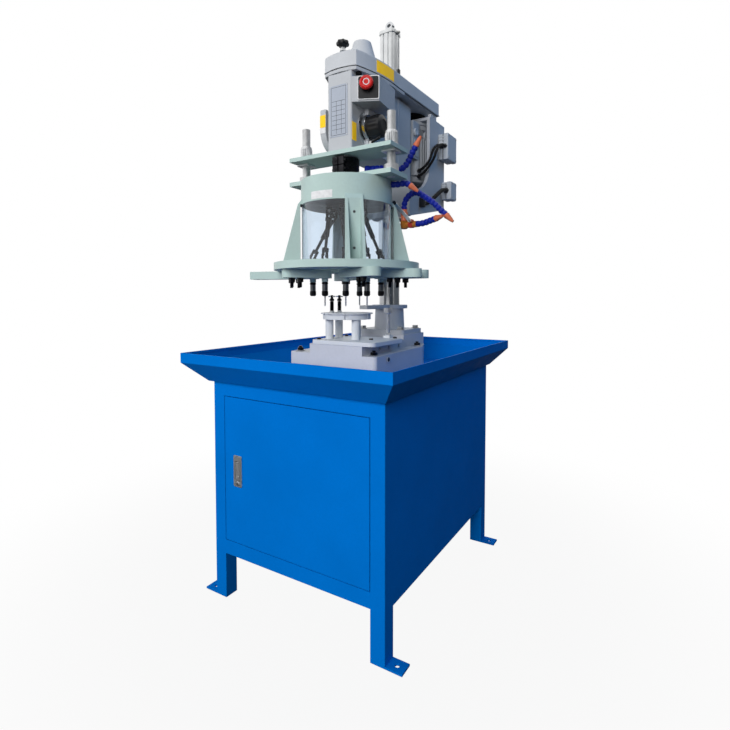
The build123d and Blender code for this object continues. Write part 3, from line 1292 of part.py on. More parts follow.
def spindle_arms():
    solids = []
    for number, (start, end, drill) in enumerate(SPINDLES):
        x, y = start[0], AXIS_Y + start[1]
        line = Vector(end[0] - start[0], end[1] - start[1])
        turn = Rot(0, 0, math.degrees(math.atan2(line.Y, line.X)))
        bar = block(0, line.length, -ARM_HALF_W, ARM_HALF_W, ARM_Z, RING_Z)
        bar += post(0, 0, ARM_Z, RING_Z, ARM_HALF_W)
        if number != SQUARE_ENDED_ARM:
            bar += post(line.length, 0, ARM_Z, RING_Z, ARM_HALF_W)
        bar += post(0, 0, ARM_Z - ARM_SLEEVE_BELOW, RING_Z + ARM_SLEEVE_ABOVE, ARM_SLEEVE_R)
        bar -= post(0, 0, ARM_Z - ARM_SLEEVE_BELOW, RING_Z + ARM_SLEEVE_ABOVE, SPINDLE_R + RUN_FIT)
        arm = Pos(x, y, 0) * turn * bar
        for radius in ARM_BOLT_RADII:
            arm -= post(*arm_point(start, end, radius), ARM_Z, RING_Z, ARM_BOLT_R + ARM_BOLT_CLEAR)
        solids.append(arm)
    return solids


def arm_bolts():
    solids = []
    for x, y in arm_bolt_places():
        stud = post(x, y, ARM_Z - ARM_BOLT_TAIL, RING_TOP_Z, ARM_BOLT_R)
        solids.append(stud + hexagon(x, y, ARM_Z - ARM_NUT_H, ARM_Z, ARM_NUT_R))
    return solids


# Drive spindle: long shaft with the sun gear at its foot
def drive_spindle():
    floor_z = DRUM_Z + DRUM_FLOOR
    shaft = extrude(Pos(0, AXIS_Y, GEAR_Z) * gear_outline(GEAR_MODULE, SUN_TEETH, 0), GEAR_THICK, dir=UP)
    shaft += post(0, AXIS_Y, floor_z - SUN_STUB_IN, GEAR_Z, SUN_STUB_R)
    return shaft + post(0, AXIS_Y, GEAR_Z, LID_TOP_Z - SHAFT_TOP_ROOM, SHAFT_R)


# One fork of a universal joint, its centre at the origin and its hub along +Z. The fork with the cross
# carries the block and one pair of pins; the other carries two stubs that stop short of the block.
def fork(with_cross):
    shape = post(0, 0, JOINT_HUB_OFF, JOINT_HUB_OFF + JOINT_HUB_H, JOINT_HUB_R)
    for sign in (-1, 1):
        x0, x1 = sorted((sign * FORK_IN, sign * FORK_OUT))
        shape += block(x0, x1, -FORK_HALF_W, FORK_HALF_W, -FORK_PAST, JOINT_HUB_OFF + FORK_ROOT)
    if with_cross:
        shape += rod((-FORK_IN - FORK_ROOT, 0, 0), (FORK_IN + FORK_ROOT, 0, 0), CROSS_PIN_R)
        return shape + Box(2 * CROSS_HALF, 2 * CROSS_HALF, 2 * CROSS_HALF)
    for sign in (-1, 1):
        inner, outer = CROSS_HALF + CROSS_GAP, FORK_IN + FORK_ROOT
        shape += rod((sign * inner, 0, 0), (sign * outer, 0, 0), CROSS_PIN_R)
    return shape


def gear_shaft(number):
    x, y = planet_place(number)
    pitch = 360.0 / PLANET_TEETH
    first_tooth = math.degrees(planet_angle(number)) + 180 - pitch / 2
    outline = gear_outline(GEAR_MODULE, PLANET_TEETH, first_tooth)
    shaft = extrude(Pos(x, y, GEAR_Z) * outline, GEAR_THICK, dir=UP)
    hub_z = UPPER_JOINT_Z + JOINT_HUB_OFF
    shaft += post(x, y, hub_z, GEAR_Z + GEAR_THICK + PLANET_SHAFT_TOP, PLANET_SHAFT_R)
    return shaft + Pos(x, y, UPPER_JOINT_Z) * fork(True)


def joint_ends(number):
    start, end, drill = SPINDLES[number]
    x, y = planet_place(number)
    return Vector(x, y, UPPER_JOINT_Z), Vector(start[0], AXIS_Y + start[1], LOWER_JOINT_Z)


def joint_shaft(number):
    upper, lower = joint_ends(number)
    line = upper - lower
    length = line.length
    shaft = post(0, 0, JOINT_HUB_OFF, length - JOINT_HUB_OFF, INNER_SHAFT_R)
    shaft += post(0, 0, length * (1 - TUBE_SHARE), length - JOINT_HUB_OFF, TUBE_R)
    shaft += Rot(0, 0, 90) * fork(False)
    shaft += Pos(0, 0, length) * Rot(180, 0, 90) * fork(False)
    return Plane(origin=lower, x_dir=(1, 0, 0), z_dir=line) * shaft


def spindle(number):
    start, end, drill = SPINDLES[number]
    x, y = start[0], AXIS_Y + start[1]
    shaft = post(0, 0, CHUCK_TOP_Z, LOWER_JOINT_Z - JOINT_HUB_OFF, SPINDLE_R)
    shaft += Pos(0, 0, LOWER_JOINT_Z) * Rot(180, 0, 0) * fork(True)
    shaft += post(0, 0, NUT_TOP_Z, CHUCK_TOP_Z, CHUCK_R)
    place = Pos(x, y, 0)
    solids = [place * shaft, place * post(0, 0, NUT_Z, NUT_TOP_Z, NUT_R)]
    if drill:
        point = Pos(0, 0, NUT_Z - DRILL_H - DRILL_R / 2) * Cone(DRILL_CHISEL_R, DRILL_R, DRILL_R)
        solids.append(place * (post(0, 0, NUT_Z - DRILL_H, NUT_Z, DRILL_R) + point))
    return solids


# Coolant fittings: valve on an arm from the right rear leg, elbow on the top plate, stub on the drum
def valve_z():
    return DRUM_Z - VALVE_DROP


def branch_z():
    return valve_z() - VALVE_H / 2 + VALVE_BRANCH_UP


def stub_point(radius):
    angle = math.radians(STUB_ANGLE)
    return radius * math.cos(angle), AXIS_Y + radius * math.sin(angle), DRUM_Z + STUB_UP


def elbow_end():
    return ELBOW_X + ELBOW_REACH, AXIS_Y + ELBOW_Y, TOP_PLATE_TOP_Z + ELBOW_UP


def coolant_fittings():
    low_z = valve_z() - VALVE_H / 2
    z = branch_z()
    valve = post(VALVE_X, VALVE_Y, low_z, low_z + VALVE_H, VALVE_R)
    valve += rod((VALVE_X, VALVE_Y, z), (VALVE_X + VALVE_BRANCH, VALVE_Y, z), VALVE_BRANCH_R)
    boss_x = VALVE_X + VALVE_BOSS_X
    boss_y = VALVE_Y - VALVE_R - VALVE_BOSS_H
    boss_z = z + VALVE_BOSS_UP
    valve += rod((boss_x, VALVE_Y, boss_z), (boss_x, boss_y, boss_z), VALVE_BOSS_R)
    arm_z = low_z + VALVE_ARM_UP
    valve += rod((0, AXIS_Y, arm_z), (VALVE_X, VALVE_Y, arm_z), VALVE_ARM_R)
    behind_face = block(-LEG_FACE_X, LEG_FACE_X, -LEG_HALF_W, LEG_HALF_W, low_z, DRUM_Z)
    valve -= Pos(0, AXIS_Y, 0) * Rot(0, 0, LEG_ANGLES[0]) * behind_face
    end_x, end_y, end_z = elbow_end()
    elbow = post(ELBOW_X, end_y, TOP_PLATE_TOP_Z, end_z + VALVE_BRANCH_R, VALVE_BRANCH_R)
    elbow += rod((ELBOW_X, end_y, end_z), (end_x, end_y, end_z), HOSE_R)
    stub = rod((0, AXIS_Y, DRUM_Z + STUB_UP), stub_point(STUB_R), HOSE_R)
    stub -= post(0, AXIS_Y, DRUM_Z, TOP_PLATE_Z, DRUM_R)
    return [valve, elbow, stub]


def valve_lever():
    y1 = VALVE_Y - VALVE_R - VALVE_BOSS_H - LEVER_GAP
    y0 = y1 - LEVER_PLATE
    hub = rod((0, y0, 0), (0, y1, 0), LEVER_HUB_R)
    arm = block(-LEVER_HALF_W, LEVER_HALF_W, y0, y1, 0, LEVER_LENGTH)
    pivot_z = branch_z() + VALVE_BOSS_UP
    return Pos(VALVE_X + VALVE_BOSS_X, 0, pivot_z) * Rot(0, -LEVER_LEAN, 0) * (hub + arm)


# Routes of the four modular coolant hoses, each from its fitting to its nozzle
def hose_routes():
    top_z = valve_z() + VALVE_H / 2
    side_x = VALVE_X + VALVE_BRANCH
    side_z = branch_z()
    x, y, z = elbow_end()
    start = stub_point(STUB_R)
    near_x, near_y, near_z = stub_point(STUB_R + STUB_RUN)
    over_valve = (
        (VALVE_X, VALVE_Y, top_z), (VALVE_X, VALVE_Y, top_z + HOSE_RUN),
        (VALVE_X + 17, VALVE_Y - 1, top_z + 44), (VALVE_X + 44, VALVE_Y - 2, top_z + 51),
        (VALVE_X + 70, VALVE_Y - 2, top_z + 33), (VALVE_X + 96, VALVE_Y - 1, top_z + 15),
        (VALVE_X + 118, VALVE_Y, top_z - 8), (VALVE_X + 138, VALVE_Y, top_z - 27),
    )
    beside_valve = (
        (side_x, VALVE_Y, side_z), (side_x + HOSE_RUN, VALVE_Y, side_z),
        (side_x + 46, VALVE_Y - 6, side_z + 5), (side_x + 69, VALVE_Y - 14, side_z + 9),
    )
    over_plate = (
        (x, y, z), (x + EXIT_RUN, y, z), (x + 55, y + 12, z - 6), (x + 81, y + 27, z - 9),
        (x + 100, y + 37, z + 9), (x + 112, y + 40, z + 35), (x + 127, y + 40, z + 59),
    )
    beside_drum = (
        start, (near_x, near_y, near_z), (near_x + 15, near_y + 6, near_z + 5),
        (near_x + 26, near_y + 10, near_z - 4),
    )
    return over_valve, beside_valve, over_plate, beside_drum


def hose_steady_axis(points):
    reach = Vector(*points[-1]) - Vector(*points[0])
    return Vector(0, 1, 0) if abs(reach.Z) > abs(reach.Y) else Vector(0, 0, 1)


# Bead hose: a ruled loft through four circles for each bead, and a plain bore
def coolant_hose(points):
    path = soft_path(points)
    steady = hose_steady_axis(points)
    beads = round(path.length / HOSE_RIB_PITCH)
    skin = []
    bore = []
    for bead in range(beads):
        for share, radius in HOSE_RIB_STEPS:
            place = (bead + share) / beads
            section = Plane(origin=path @ place, x_dir=steady.cross(path % place), z_dir=path % place)
            skin.append(section * Circle(radius))
            bore.append(section * Circle(HOSE_BORE_R))
    return loft(skin, ruled=True) - loft(bore, ruled=True)


def nozzle(points):
    along = (Vector(*points[-1]) - Vector(*points[-2])).normalized()
    tip = Vector(*points[-1]) + along * NOZZLE_LENGTH
    return rod(points[-1], tuple(tip), HOSE_R, NOZZLE_TIP_R) - rod(points[-1], tuple(tip), NOZZLE_BORE_R)


os.makedirs("parts", exist_ok=True)
keep("stand_frame", stand_frame())
keep("chip_tray", chip_tray())
keep("cabinet_door", cabinet_door())
keep("door_lock", door_lock())
keep("lock_lever", lock_lever())
keep("base_casting", base_casting())
keep("anchor_bolts", *anchor_bolts())
keep("column_foot", column_foot())
keep("column", column())
keep("fixture_plate", fixture_plate())
keep("fixture_table", fixture_table())
keep("work_locators", *work_locators())
keep("belt_cover", belt_cover())
keep("cover_knob", cover_knob())
keep("head_casting", head_casting())
keep("side_cover", side_cover())
keep("estop_box", estop_box())
keep("estop_button", estop_button())
keep("feed_cylinder", feed_cylinder())
keep("motor_bracket", motor_bracket())
keep("motor", motor())
keep("terminal_boxes", *terminal_boxes())
keep("drive_belt", drive_belt())
keep("motor_pulley", motor_pulley())
keep("spindle_pulley", spindle_pulley())
keep("motor_cables", *motor_cables())
keep("guide_plate", guide_plate())
keep("guide_bushes", *guide_bushes())
keep("quill", quill())
keep("feed_dial", feed_dial())
keep("head_top_plate", head_top_plate())
keep("guide_posts", *guide_posts())
keep("clamp_coupling", clamp_coupling())
keep("gear_housing", gear_housing())
keep("window_guard", window_guard())
keep("spindle_arms", *spindle_arms())
keep("arm_bolts", *arm_bolts())
keep("drive_spindle", drive_spindle())
for number in range(len(SPINDLES)):
    keep(f"gear_shaft_{number + 1}", gear_shaft(number))
    keep(f"joint_shaft_{number + 1}", joint_shaft(number))
    keep(f"spindle_{number + 1}", *spindle(number))
keep("coolant_fittings", *coolant_fittings())
keep("valve_lever", valve_lever())
keep("coolant_hoses", *[coolant_hose(points) for points in hose_routes()])
keep("hose_nozzles", *[nozzle(points) for points in hose_routes()])
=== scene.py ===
import math

import bmesh
import bpy
from mathutils import Matrix, Vector


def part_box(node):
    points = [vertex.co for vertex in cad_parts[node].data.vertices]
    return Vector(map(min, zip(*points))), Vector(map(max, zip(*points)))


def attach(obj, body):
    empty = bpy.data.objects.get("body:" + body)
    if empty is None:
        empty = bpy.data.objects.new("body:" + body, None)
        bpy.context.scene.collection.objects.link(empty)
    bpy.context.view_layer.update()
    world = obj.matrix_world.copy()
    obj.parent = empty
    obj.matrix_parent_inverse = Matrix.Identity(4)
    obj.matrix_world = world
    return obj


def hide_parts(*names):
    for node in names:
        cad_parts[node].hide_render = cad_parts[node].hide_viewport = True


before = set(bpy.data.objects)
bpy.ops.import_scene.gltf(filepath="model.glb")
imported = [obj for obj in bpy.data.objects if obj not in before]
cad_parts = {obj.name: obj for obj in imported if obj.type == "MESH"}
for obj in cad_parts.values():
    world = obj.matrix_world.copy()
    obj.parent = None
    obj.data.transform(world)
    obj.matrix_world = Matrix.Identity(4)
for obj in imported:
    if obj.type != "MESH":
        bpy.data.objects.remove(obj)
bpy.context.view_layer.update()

# A column drilling machine with a multi-spindle head, on a cabinet stand with a chip tray.
# Shapes are written in millimetres in the frame's axes and become metres when a piece is finished.
MM = 0.001
FULL_TURN = 2.0 * math.pi
X_AXIS, Y_AXIS, Z_AXIS = Vector((1, 0, 0)), Vector((0, 1, 0)), Vector((0, 0, 1))
SIDES = (-1, 1)
CORNERS = ((-1, -1), (1, -1), (1, 1), (-1, 1))
SPINDLES = range(1, 7)
BEVEL_ANGLE, SHARP_ANGLE = 0.6, math.radians(38.0)


# Materials

def srgb(red, green, blue):
    """A display colour of 0 to 255 as the linear colour that shaders take."""
    parts = []
    for value in (red, green, blue):
        share = value / 255.0
        parts.append(share / 12.92 if share <= 0.04045 else ((share + 0.055) / 1.055) ** 2.4)
    return (*parts, 1.0)


def shade(colour, factor):
    return (*(min(1.0, part * factor) for part in colour[:3]), 1.0)


class Finish:
    """A procedural material, with its texture in the frame's metres."""

    def __init__(self, name):
        self.material = bpy.data.materials.new("finish_" + name)
        self.material.use_nodes = True
        self.tree = self.material.node_tree
        self.shader = self.tree.nodes["Principled BSDF"]
        self.place = self.node("TexCoord").outputs["Object"]

    def node(self, kind, sockets=None, **settings):
        made = self.tree.nodes.new("ShaderNode" + kind)
        for key, value in settings.items():
            setattr(made, key, value)
        for key, value in (sockets or {}).items():
            self.plug(made.inputs[key], value)
        return made

    def plug(self, socket, value):
        if isinstance(value, bpy.types.NodeSocket):
            self.tree.links.new(value, socket)
        else:
            socket.default_value = value

    def set(self, **sockets):
        for key, value in sockets.items():
            self.plug(self.shader.inputs[key.replace("_", " ")], value)

    def noise(self, size, detail=3.0, stretch=(1, 1, 1)):
        """Noise with features of about size millimetres, drawn out along an axis by its stretch."""
        scale = tuple(1.0 / value for value in stretch)
        moved = self.node("Mapping", {"Vector": self.place, "Scale": scale}).outputs["Vector"]
        sockets = {"Vector": moved, "Scale": 1.0 / (size * MM), "Detail": detail, "Roughness": 0.55}
        return self.node("TexNoise", sockets).outputs["Fac"]

    def remap(self, value, low, high, to_low, to_high):
        sockets = {"Value": value, "From Min": low, "From Max": high, "To Min": to_low, "To Max": to_high}
        return self.node("MapRange", sockets).outputs["Result"]

    def math(self, operation, one, two):
        return self.node("Math", {0: one, 1: two}, operation=operation).outputs[0]

    def mix(self, amount, one, two):
        """A mix of two colours, whose sockets on this node go by number."""
        return self.node("Mix", {0: amount, 6: one, 7: two}, data_type="RGBA").outputs[2]

    def rounded_normal(self, radius):
        return self.node("Bevel", {"Radius": radius * MM}, samples=4).outputs["Normal"]

    def edge(self, rounded):
        """How far the rounded normal leans from the face: 0 on flats, more along edges."""
        flat = self.node("NewGeometry").outputs["Normal"]
        lean = self.node("VectorMath", {0: rounded, 1: flat}, operation="DOT_PRODUCT").outputs["Value"]
        return self.math("SUBTRACT", 1.0, lean)

    def bump(self, height, depth, normal):
        sockets = {"Height": height, "Strength": 1.0, "Distance": depth * MM, "Normal": normal}
        return self.node("Bump", sockets).outputs["Normal"]


def painted(name, colour, rough, edge_r, grain, grain_depth, wear_and_highlight_colour=None, wear_and_highlight_amount=0.5, shine=0.15):
    """Sprayed paint: cloudy tone, fine grain, and softened edges that are lighter along them, partly from
    wear and partly as a painted highlight.
    """
    paint = Finish(name)
    clouds = paint.remap(paint.noise(160.0, 4.0), 0.3, 0.7, 0.0, 1.0)
    fine = paint.remap(paint.noise(7.0), 0.35, 0.7, 0.0, 0.35)
    tone = paint.mix(clouds, shade(colour, 0.94), shade(colour, 1.05))
    tone = paint.mix(fine, tone, shade(colour, 0.90))
    rounded = paint.rounded_normal(edge_r)
    # Lighter patches along the edges: partly wear, partly a painted highlight where the edges catch the
    # light.
    wear_and_highlight = paint.math("MULTIPLY", paint.remap(paint.edge(rounded), 0.02, 0.25, 0.0, wear_and_highlight_amount),
                     paint.remap(paint.noise(22.0, 5.0), 0.42, 0.66, 0.0, 1.0))
    tone = paint.mix(wear_and_highlight, tone, wear_and_highlight_colour or shade(colour, 1.6))
    gloss = paint.remap(paint.noise(45.0, 4.0), 0.3, 0.7, rough - 0.05, rough + 0.08)
    paint.set(Base_Color=tone, Roughness=gloss, Specular_IOR_Level=shine,
              Normal=paint.bump(paint.noise(grain, 2.0), grain_depth, rounded))
    return paint.material


def metal(name, colour, rough, stretch, scratch, scratch_depth, edge_r, stain, dark=None):
    """Bare or plated metal: machining lines along the stretch, smudges, and bright rounded edges."""
    steel = Finish(name)
    smudge = steel.remap(steel.noise(35.0, 4.0), 0.35, 0.7, 0.0, 1.0)
    lines = steel.noise(scratch, 3.0, stretch)
    tone = steel.mix(smudge, colour, dark or shade(colour, 1.0 - 1.6 * stain))
    gloss = steel.math("ADD", steel.remap(smudge, 0.0, 1.0, rough - stain * 0.3, rough + stain),
                       steel.remap(lines, 0.3, 0.7, -0.25 * rough, 0.25 * rough))
    steel.set(Base_Color=tone, Metallic=1.0, Roughness=gloss,
              Normal=steel.bump(lines, scratch_depth, steel.rounded_normal(edge_r)))
    return steel.material


def moulded(name, colour, rough, grain=0.6, grain_depth=0.012, edge_r=0.5, soft=0.0, shine=0.5, glow=0.0):
    """Moulded plastic or rubber: even colour with faint mottling and a fine skin."""
    plastic = Finish(name)
    mottle = plastic.remap(plastic.noise(9.0, 4.0), 0.3, 0.7, 0.0, 1.0)
    tone = plastic.mix(mottle, shade(colour, 0.9), shade(colour, 1.08))
    gloss = plastic.remap(plastic.noise(14.0, 4.0), 0.3, 0.7, rough - 0.06, rough + 0.08)
    # Emission_Strength gives the part a painted glow, which only the yellow plates use.
    plastic.set(Base_Color=tone, Roughness=gloss, Sheen_Weight=soft, Specular_IOR_Level=shine,
                Emission_Color=colour, Emission_Strength=glow,
                Normal=plastic.bump(plastic.noise(grain, 2.0), grain_depth, plastic.rounded_normal(edge_r)))
    return plastic.material


def clear_sheet(name):
    """Clear acrylic with fine handling scratches."""
    sheet = Finish(name)
    scuffs = sheet.noise(3.0, 5.0, (1, 1, 9))
    sheet.set(Base_Color=sheet.mix(scuffs, srgb(228, 238, 248), srgb(236, 244, 251)),
              Transmission_Weight=1.0, IOR=1.45, Roughness=sheet.remap(scuffs, 0.4, 0.75, 0.0, 0.06))
    return sheet.material


# The colour after the grain depth in each paint is its lighter edge colour: partly wear, partly a painted
# highlight. Paints without it lighten the edges in their own colour.
BLUE = painted("blue", srgb(0, 114, 208), 0.40, 2.0, 2.2, 0.04, srgb(30, 138, 222), 0.35, 0.01)
GREEN = painted("plate_green", srgb(184, 206, 202), 0.38, 1.5, 1.2, 0.03, srgb(212, 223, 220))
CAST_GREY = painted("casting_grey", srgb(192, 195, 200), 0.38, 2.0, 2.6, 0.07, srgb(224, 226, 229))
BASE_GREY = painted("base_grey", srgb(196, 199, 207), 0.42, 1.8, 2.6, 0.08, srgb(225, 227, 232))
LID_GREY = painted("lid_grey", srgb(202, 205, 210), 0.38, 2.0, 1.8, 0.04, srgb(226, 228, 231))
BRACKET_GREY = painted("bracket_grey", srgb(190, 193, 199), 0.42, 2.0, 3.0, 0.10, srgb(212, 214, 217))
MOTOR_GREY = painted("motor_grey", srgb(180, 184, 190), 0.40, 1.5, 2.0, 0.06)
BOX_GREY = painted("box_grey", srgb(198, 204, 211), 0.38, 1.6, 1.6, 0.04, srgb(222, 226, 230))
FIXTURE = painted("fixture", srgb(210, 214, 219), 0.46, 0.8, 1.4, 0.02, srgb(226, 228, 231))
PLATE_SILVER = painted("plate_silver", srgb(176, 183, 196), 0.30, 0.4, 0.8, 0.01)
# Dark paint for the drum's underside inside the guard: painted shade.
DRUM_FLOOR_SHADE = painted("drum_floor_shade", srgb(46, 48, 52), 0.46, 0.8, 2.0, 0.05)
CHROME = metal("chrome", srgb(222, 224, 227), 0.07, (30, 30, 1), 0.8, 0.0015, 0.6, 0.05)
COLUMN_STEEL = metal("column_steel", srgb(206, 208, 211), 0.18, (12, 12, 1), 0.9, 0.003, 0.6, 0.08)
STEEL = metal("ground_steel", srgb(246, 247, 248), 0.50, (12, 12, 1), 0.9, 0.004, 0.5, 0.10)
CHUCK_STEEL = metal("chuck_steel", srgb(128, 130, 134), 0.34, (6, 6, 1), 0.9, 0.004, 0.5, 0.10)
ZINC = metal("zinc", srgb(208, 208, 205), 0.30, (3, 3, 1), 1.2, 0.004, 0.5, 0.12)
ALUMINIUM = metal("anodised", srgb(236, 238, 239), 0.38, (1, 1, 30), 0.7, 0.004, 0.6, 0.06)
BLACK_STEEL = metal("black_oxide", srgb(58, 58, 61), 0.30, (6, 6, 1), 0.9, 0.004, 0.5, 0.10,
                    srgb(30, 30, 32))
IRON = metal("turned_iron", srgb(120, 120, 122), 0.36, (20, 20, 1), 0.9, 0.006, 0.5, 0.12)
SATIN = metal("satin_plate", srgb(238, 240, 242), 0.40, (1, 1, 8), 0.9, 0.003, 0.6, 0.08)
BLACK_PLASTIC = moulded("black_plastic", srgb(26, 26, 28), 0.34)
STOP_RED = moulded("stop_red", srgb(200, 30, 28), 0.26, 0.8, 0.006)
HOSE_BLUE = moulded("hose_blue", srgb(14, 34, 146), 0.30, 0.7, 0.008)
ORANGE = moulded("nozzle_orange", srgb(212, 116, 84), 0.32, 0.7, 0.008)
RUBBER = moulded("black_rubber", srgb(16, 16, 17), 0.52, 0.5, 0.02, 0.4, 0.02, 0.15)
LABEL_WHITE = moulded("label_white", srgb(226, 226, 228), 0.38)
# The yellow plates glow a little: a painted brightness that keeps them bright on the head's shaded side.
LABEL_YELLOW = moulded("label_yellow", srgb(240, 190, 24), 0.36, glow=0.28)
VALVE_BRASS = moulded("valve_brass", srgb(164, 104, 42), 0.34)
VALVE_RED = moulded("valve_red", srgb(176, 58, 50), 0.34)
CLEAR = clear_sheet("clear_guard")

TURNING = ("gear_shaft", "joint_shaft", "spindle")
NODE_FINISHES = (
    (BLUE, ("stand_frame", "chip_tray", "cabinet_door")),
    (ZINC, ("door_lock", "anchor_bolts", "arm_bolts", "valve_lever")),
    (CHROME, ("lock_lever", "feed_dial")),
    (COLUMN_STEEL, ("column",)),
    (BASE_GREY, ("base_casting",)),
    (CAST_GREY, ("head_casting", "side_cover", "column_foot", "estop_box")),
    (FIXTURE, ("fixture_plate", "fixture_table")),
    (LID_GREY, ("belt_cover",)),
    (BLACK_PLASTIC, ("cover_knob",)),
    (STOP_RED, ("estop_button",)),
    (ALUMINIUM, ("feed_cylinder",)),
    (MOTOR_GREY, ("motor",)),
    (BRACKET_GREY, ("motor_bracket",)),
    (BOX_GREY, ("terminal_boxes",)),
    (RUBBER, ("drive_belt", "motor_cables")),
    (IRON, ("motor_pulley", "spindle_pulley")),
    (GREEN, ("guide_plate", "head_top_plate", "gear_housing", "spindle_arms")),
    (STEEL, ("guide_bushes", "guide_posts", "quill", "work_locators", "drive_spindle")),
    (BLACK_STEEL, ("clamp_coupling", *(f"{kind}_{k}" for kind in TURNING for k in SPINDLES))),
    (CLEAR, ("window_guard",)),
    (ORANGE, ("coolant_fittings", "hose_nozzles")),
    (HOSE_BLUE, ("coolant_hoses",)),
)
for finish, names in NODE_FINISHES:
    for name in names:
        node_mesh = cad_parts[name].data
        node_mesh.materials.clear()
        node_mesh.materials.append(finish)


def paint_drum_floor_shade():
    """The underside of the gear drum inside the guard is painted dark: painted shade for the shaded inside of
    the guard.
    """
    low, high = (Vector(corner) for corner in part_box("window_guard"))
    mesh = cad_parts["gear_housing"].data
    mesh.materials.append(DRUM_FLOOR_SHADE)
    for face in mesh.polygons:
        inside = low.x < face.center.x < high.x and low.y < face.center.y < high.y
        if inside and face.normal.z < -0.9 and abs(face.center.z - high.z) < MM:
            face.material_index = 1


paint_drum_floor_shade()


# Places

class Box:
    """The corners, middle and half size of a node or of one of its solids, in millimetres."""

    def __init__(self, low, high):
        self.low, self.high = low, high
        self.middle = (low + high) / 2.0
        self.half = (high - low) / 2.0

    def upright(self, z=0.0):
        """The place at height z on the box's upright middle line."""
        return at(self.middle.x, self.middle.y, z)


def box_of(node):
    low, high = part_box(node)
    return Box(Vector(low) / MM, Vector(high) / MM)


def islands(node):
    """The box of each separate solid of a node."""
    mesh = bmesh.new()
    mesh.from_mesh(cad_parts[node].data)
    bmesh.ops.remove_doubles(mesh, verts=mesh.verts, dist=0.001 * MM)
    left = set(mesh.verts)
    found = []
    while left:
        waiting = [left.pop()]
        points = []
        while waiting:
            vert = waiting.pop()
            points.append(vert.co / MM)
            near = {edge.other_vert(vert) for edge in vert.link_edges} & left
            left -= near
            waiting.extend(near)
        low, high = (Vector([pick(point[k] for point in points) for k in range(3)]) for pick in (min, max))
        found.append(Box(low, high))
    mesh.free()
    return sorted(found, key=lambda box: tuple(box.low))


def at(x, y, z):
    return Matrix.Translation((x, y, z))


def facing(origin, out, up=Z_AXIS):
    """A place at origin whose own Z points out, with its Y nearest to up."""
    z = Vector(out).normalized()
    x = Vector(up).cross(z).normalized()
    place = Matrix((x, z.cross(x), z)).transposed().to_4x4()
    place.translation = origin
    return place


def level(angle):
    """The level direction at an angle in degrees from X."""
    return Vector((math.cos(math.radians(angle)), math.sin(math.radians(angle)), 0.0))


def spokes(count, start=0.0):
    """Turns about Z, evenly spaced, that begin at a share of one step."""
    return [Matrix.Rotation(FULL_TURN * (k + start) / count, 4, "Z") for k in range(count)]


# The foot of the axis about which the multi-spindle head is laid out, in the frame's middle plane
HEAD_AXIS = Vector((0.0, box_of("quill").middle.y, 0.0))


# Shapes

def hexagon(angle):
    """Radius of a hexagon at an angle, as a share of its corner radius."""
    sixth = math.pi / 3.0
    return math.cos(sixth / 2.0) / math.cos(angle % sixth - sixth / 2.0)


def lobes(count, depth):
    """A radius share that dips count times by depth."""
    return lambda angle: 1.0 - depth * (0.5 - 0.5 * math.cos(count * angle))


def closed_up(part, edge=0.0):
    """The part with its faces turned outward, and its sharp edges rounded if edge isn't zero."""
    bmesh.ops.recalc_face_normals(part, faces=part.faces)
    if edge:
        sharp = [line for line in part.edges
                 if len(line.link_faces) == 2 and line.calc_face_angle() > BEVEL_ANGLE]
        bmesh.ops.bevel(part, geom=sharp, offset=edge, segments=2, profile=0.5, affect="EDGES",
                        clamp_overlap=True)
    return part


def bridge(part, one, two):
    """Faces between two loops of as many points."""
    for k in range(len(one)):
        part.faces.new((one[k - 1], one[k], two[k], two[k - 1]))


def turned(profile, steps, closed=False):
    """A part turned about Z from (radius, height) points, some with an outline as third value."""
    part = bmesh.new()
    loops = []
    for radius, height, *outline in profile:
        loop = []
        for k in range(steps if radius else 1):
            angle = FULL_TURN * k / steps
            reach = radius * (outline[0](angle) if outline else 1.0)
            loop.append(part.verts.new((reach * math.cos(angle), reach * math.sin(angle), height)))
        loops.append(loop)
    if not closed:
        for loop in (loops[0], loops[-1]):
            if len(loop) > 1:
                part.faces.new(loop)
    for one, two in zip(loops, loops[1:] + loops[:1] if closed else loops[1:]):
        for k in range(steps):
            after = (k + 1) % steps
            corners = (one[k % len(one)], one[after % len(one)], two[after % len(two)], two[k % len(two)])
            corners = tuple(dict.fromkeys(corners))
            if len(corners) > 2:
                part.faces.new(corners)
    return closed_up(part)


def solid(steps, *profile):
    """A turned part whose flat ends reach the axis."""
    return turned(((0, profile[0][1]), *profile, (0, profile[-1][1])), steps)


def rod(radius, low, high, steps):
    return solid(steps, (radius, low), (radius, high))


def extruded(outline, low, high, edge=0.0):
    """An upright part on an outline of (x, y) points, with its edges rounded."""
    part = bmesh.new()
    bottom, top = ([part.verts.new((x, y, z)) for x, y in outline] for z in (low, high))
    part.faces.new(bottom)
    part.faces.new(top)
    bridge(part, bottom, top)
    return closed_up(part, edge)


def framed(outer, inner, low, high, edge=0.0):
    """A plate with an opening: two outlines of as many points."""
    part = bmesh.new()
    rims = [(outline, z) for outline in (outer, inner) for z in (low, high)]
    loops = [[part.verts.new((x, y, z)) for x, y in outline] for outline, z in rims]
    for one, two in ((0, 1), (1, 3), (3, 2), (2, 0)):
        bridge(part, loops[one], loops[two])
    return closed_up(part, edge)


def rounded(half_x, half_y, radius, middle=(0.0, 0.0), steps=5):
    """The outline of a rectangle with round corners."""
    points = []
    for quarter, (sign_x, sign_y) in enumerate(((1, 1), (-1, 1), (-1, -1), (1, -1))):
        for k in range(steps + 1):
            angle = math.pi / 2.0 * (quarter + k / steps)
            points.append((middle[0] + sign_x * (half_x - radius) + radius * math.cos(angle),
                           middle[1] + sign_y * (half_y - radius) + radius * math.sin(angle)))
    return points


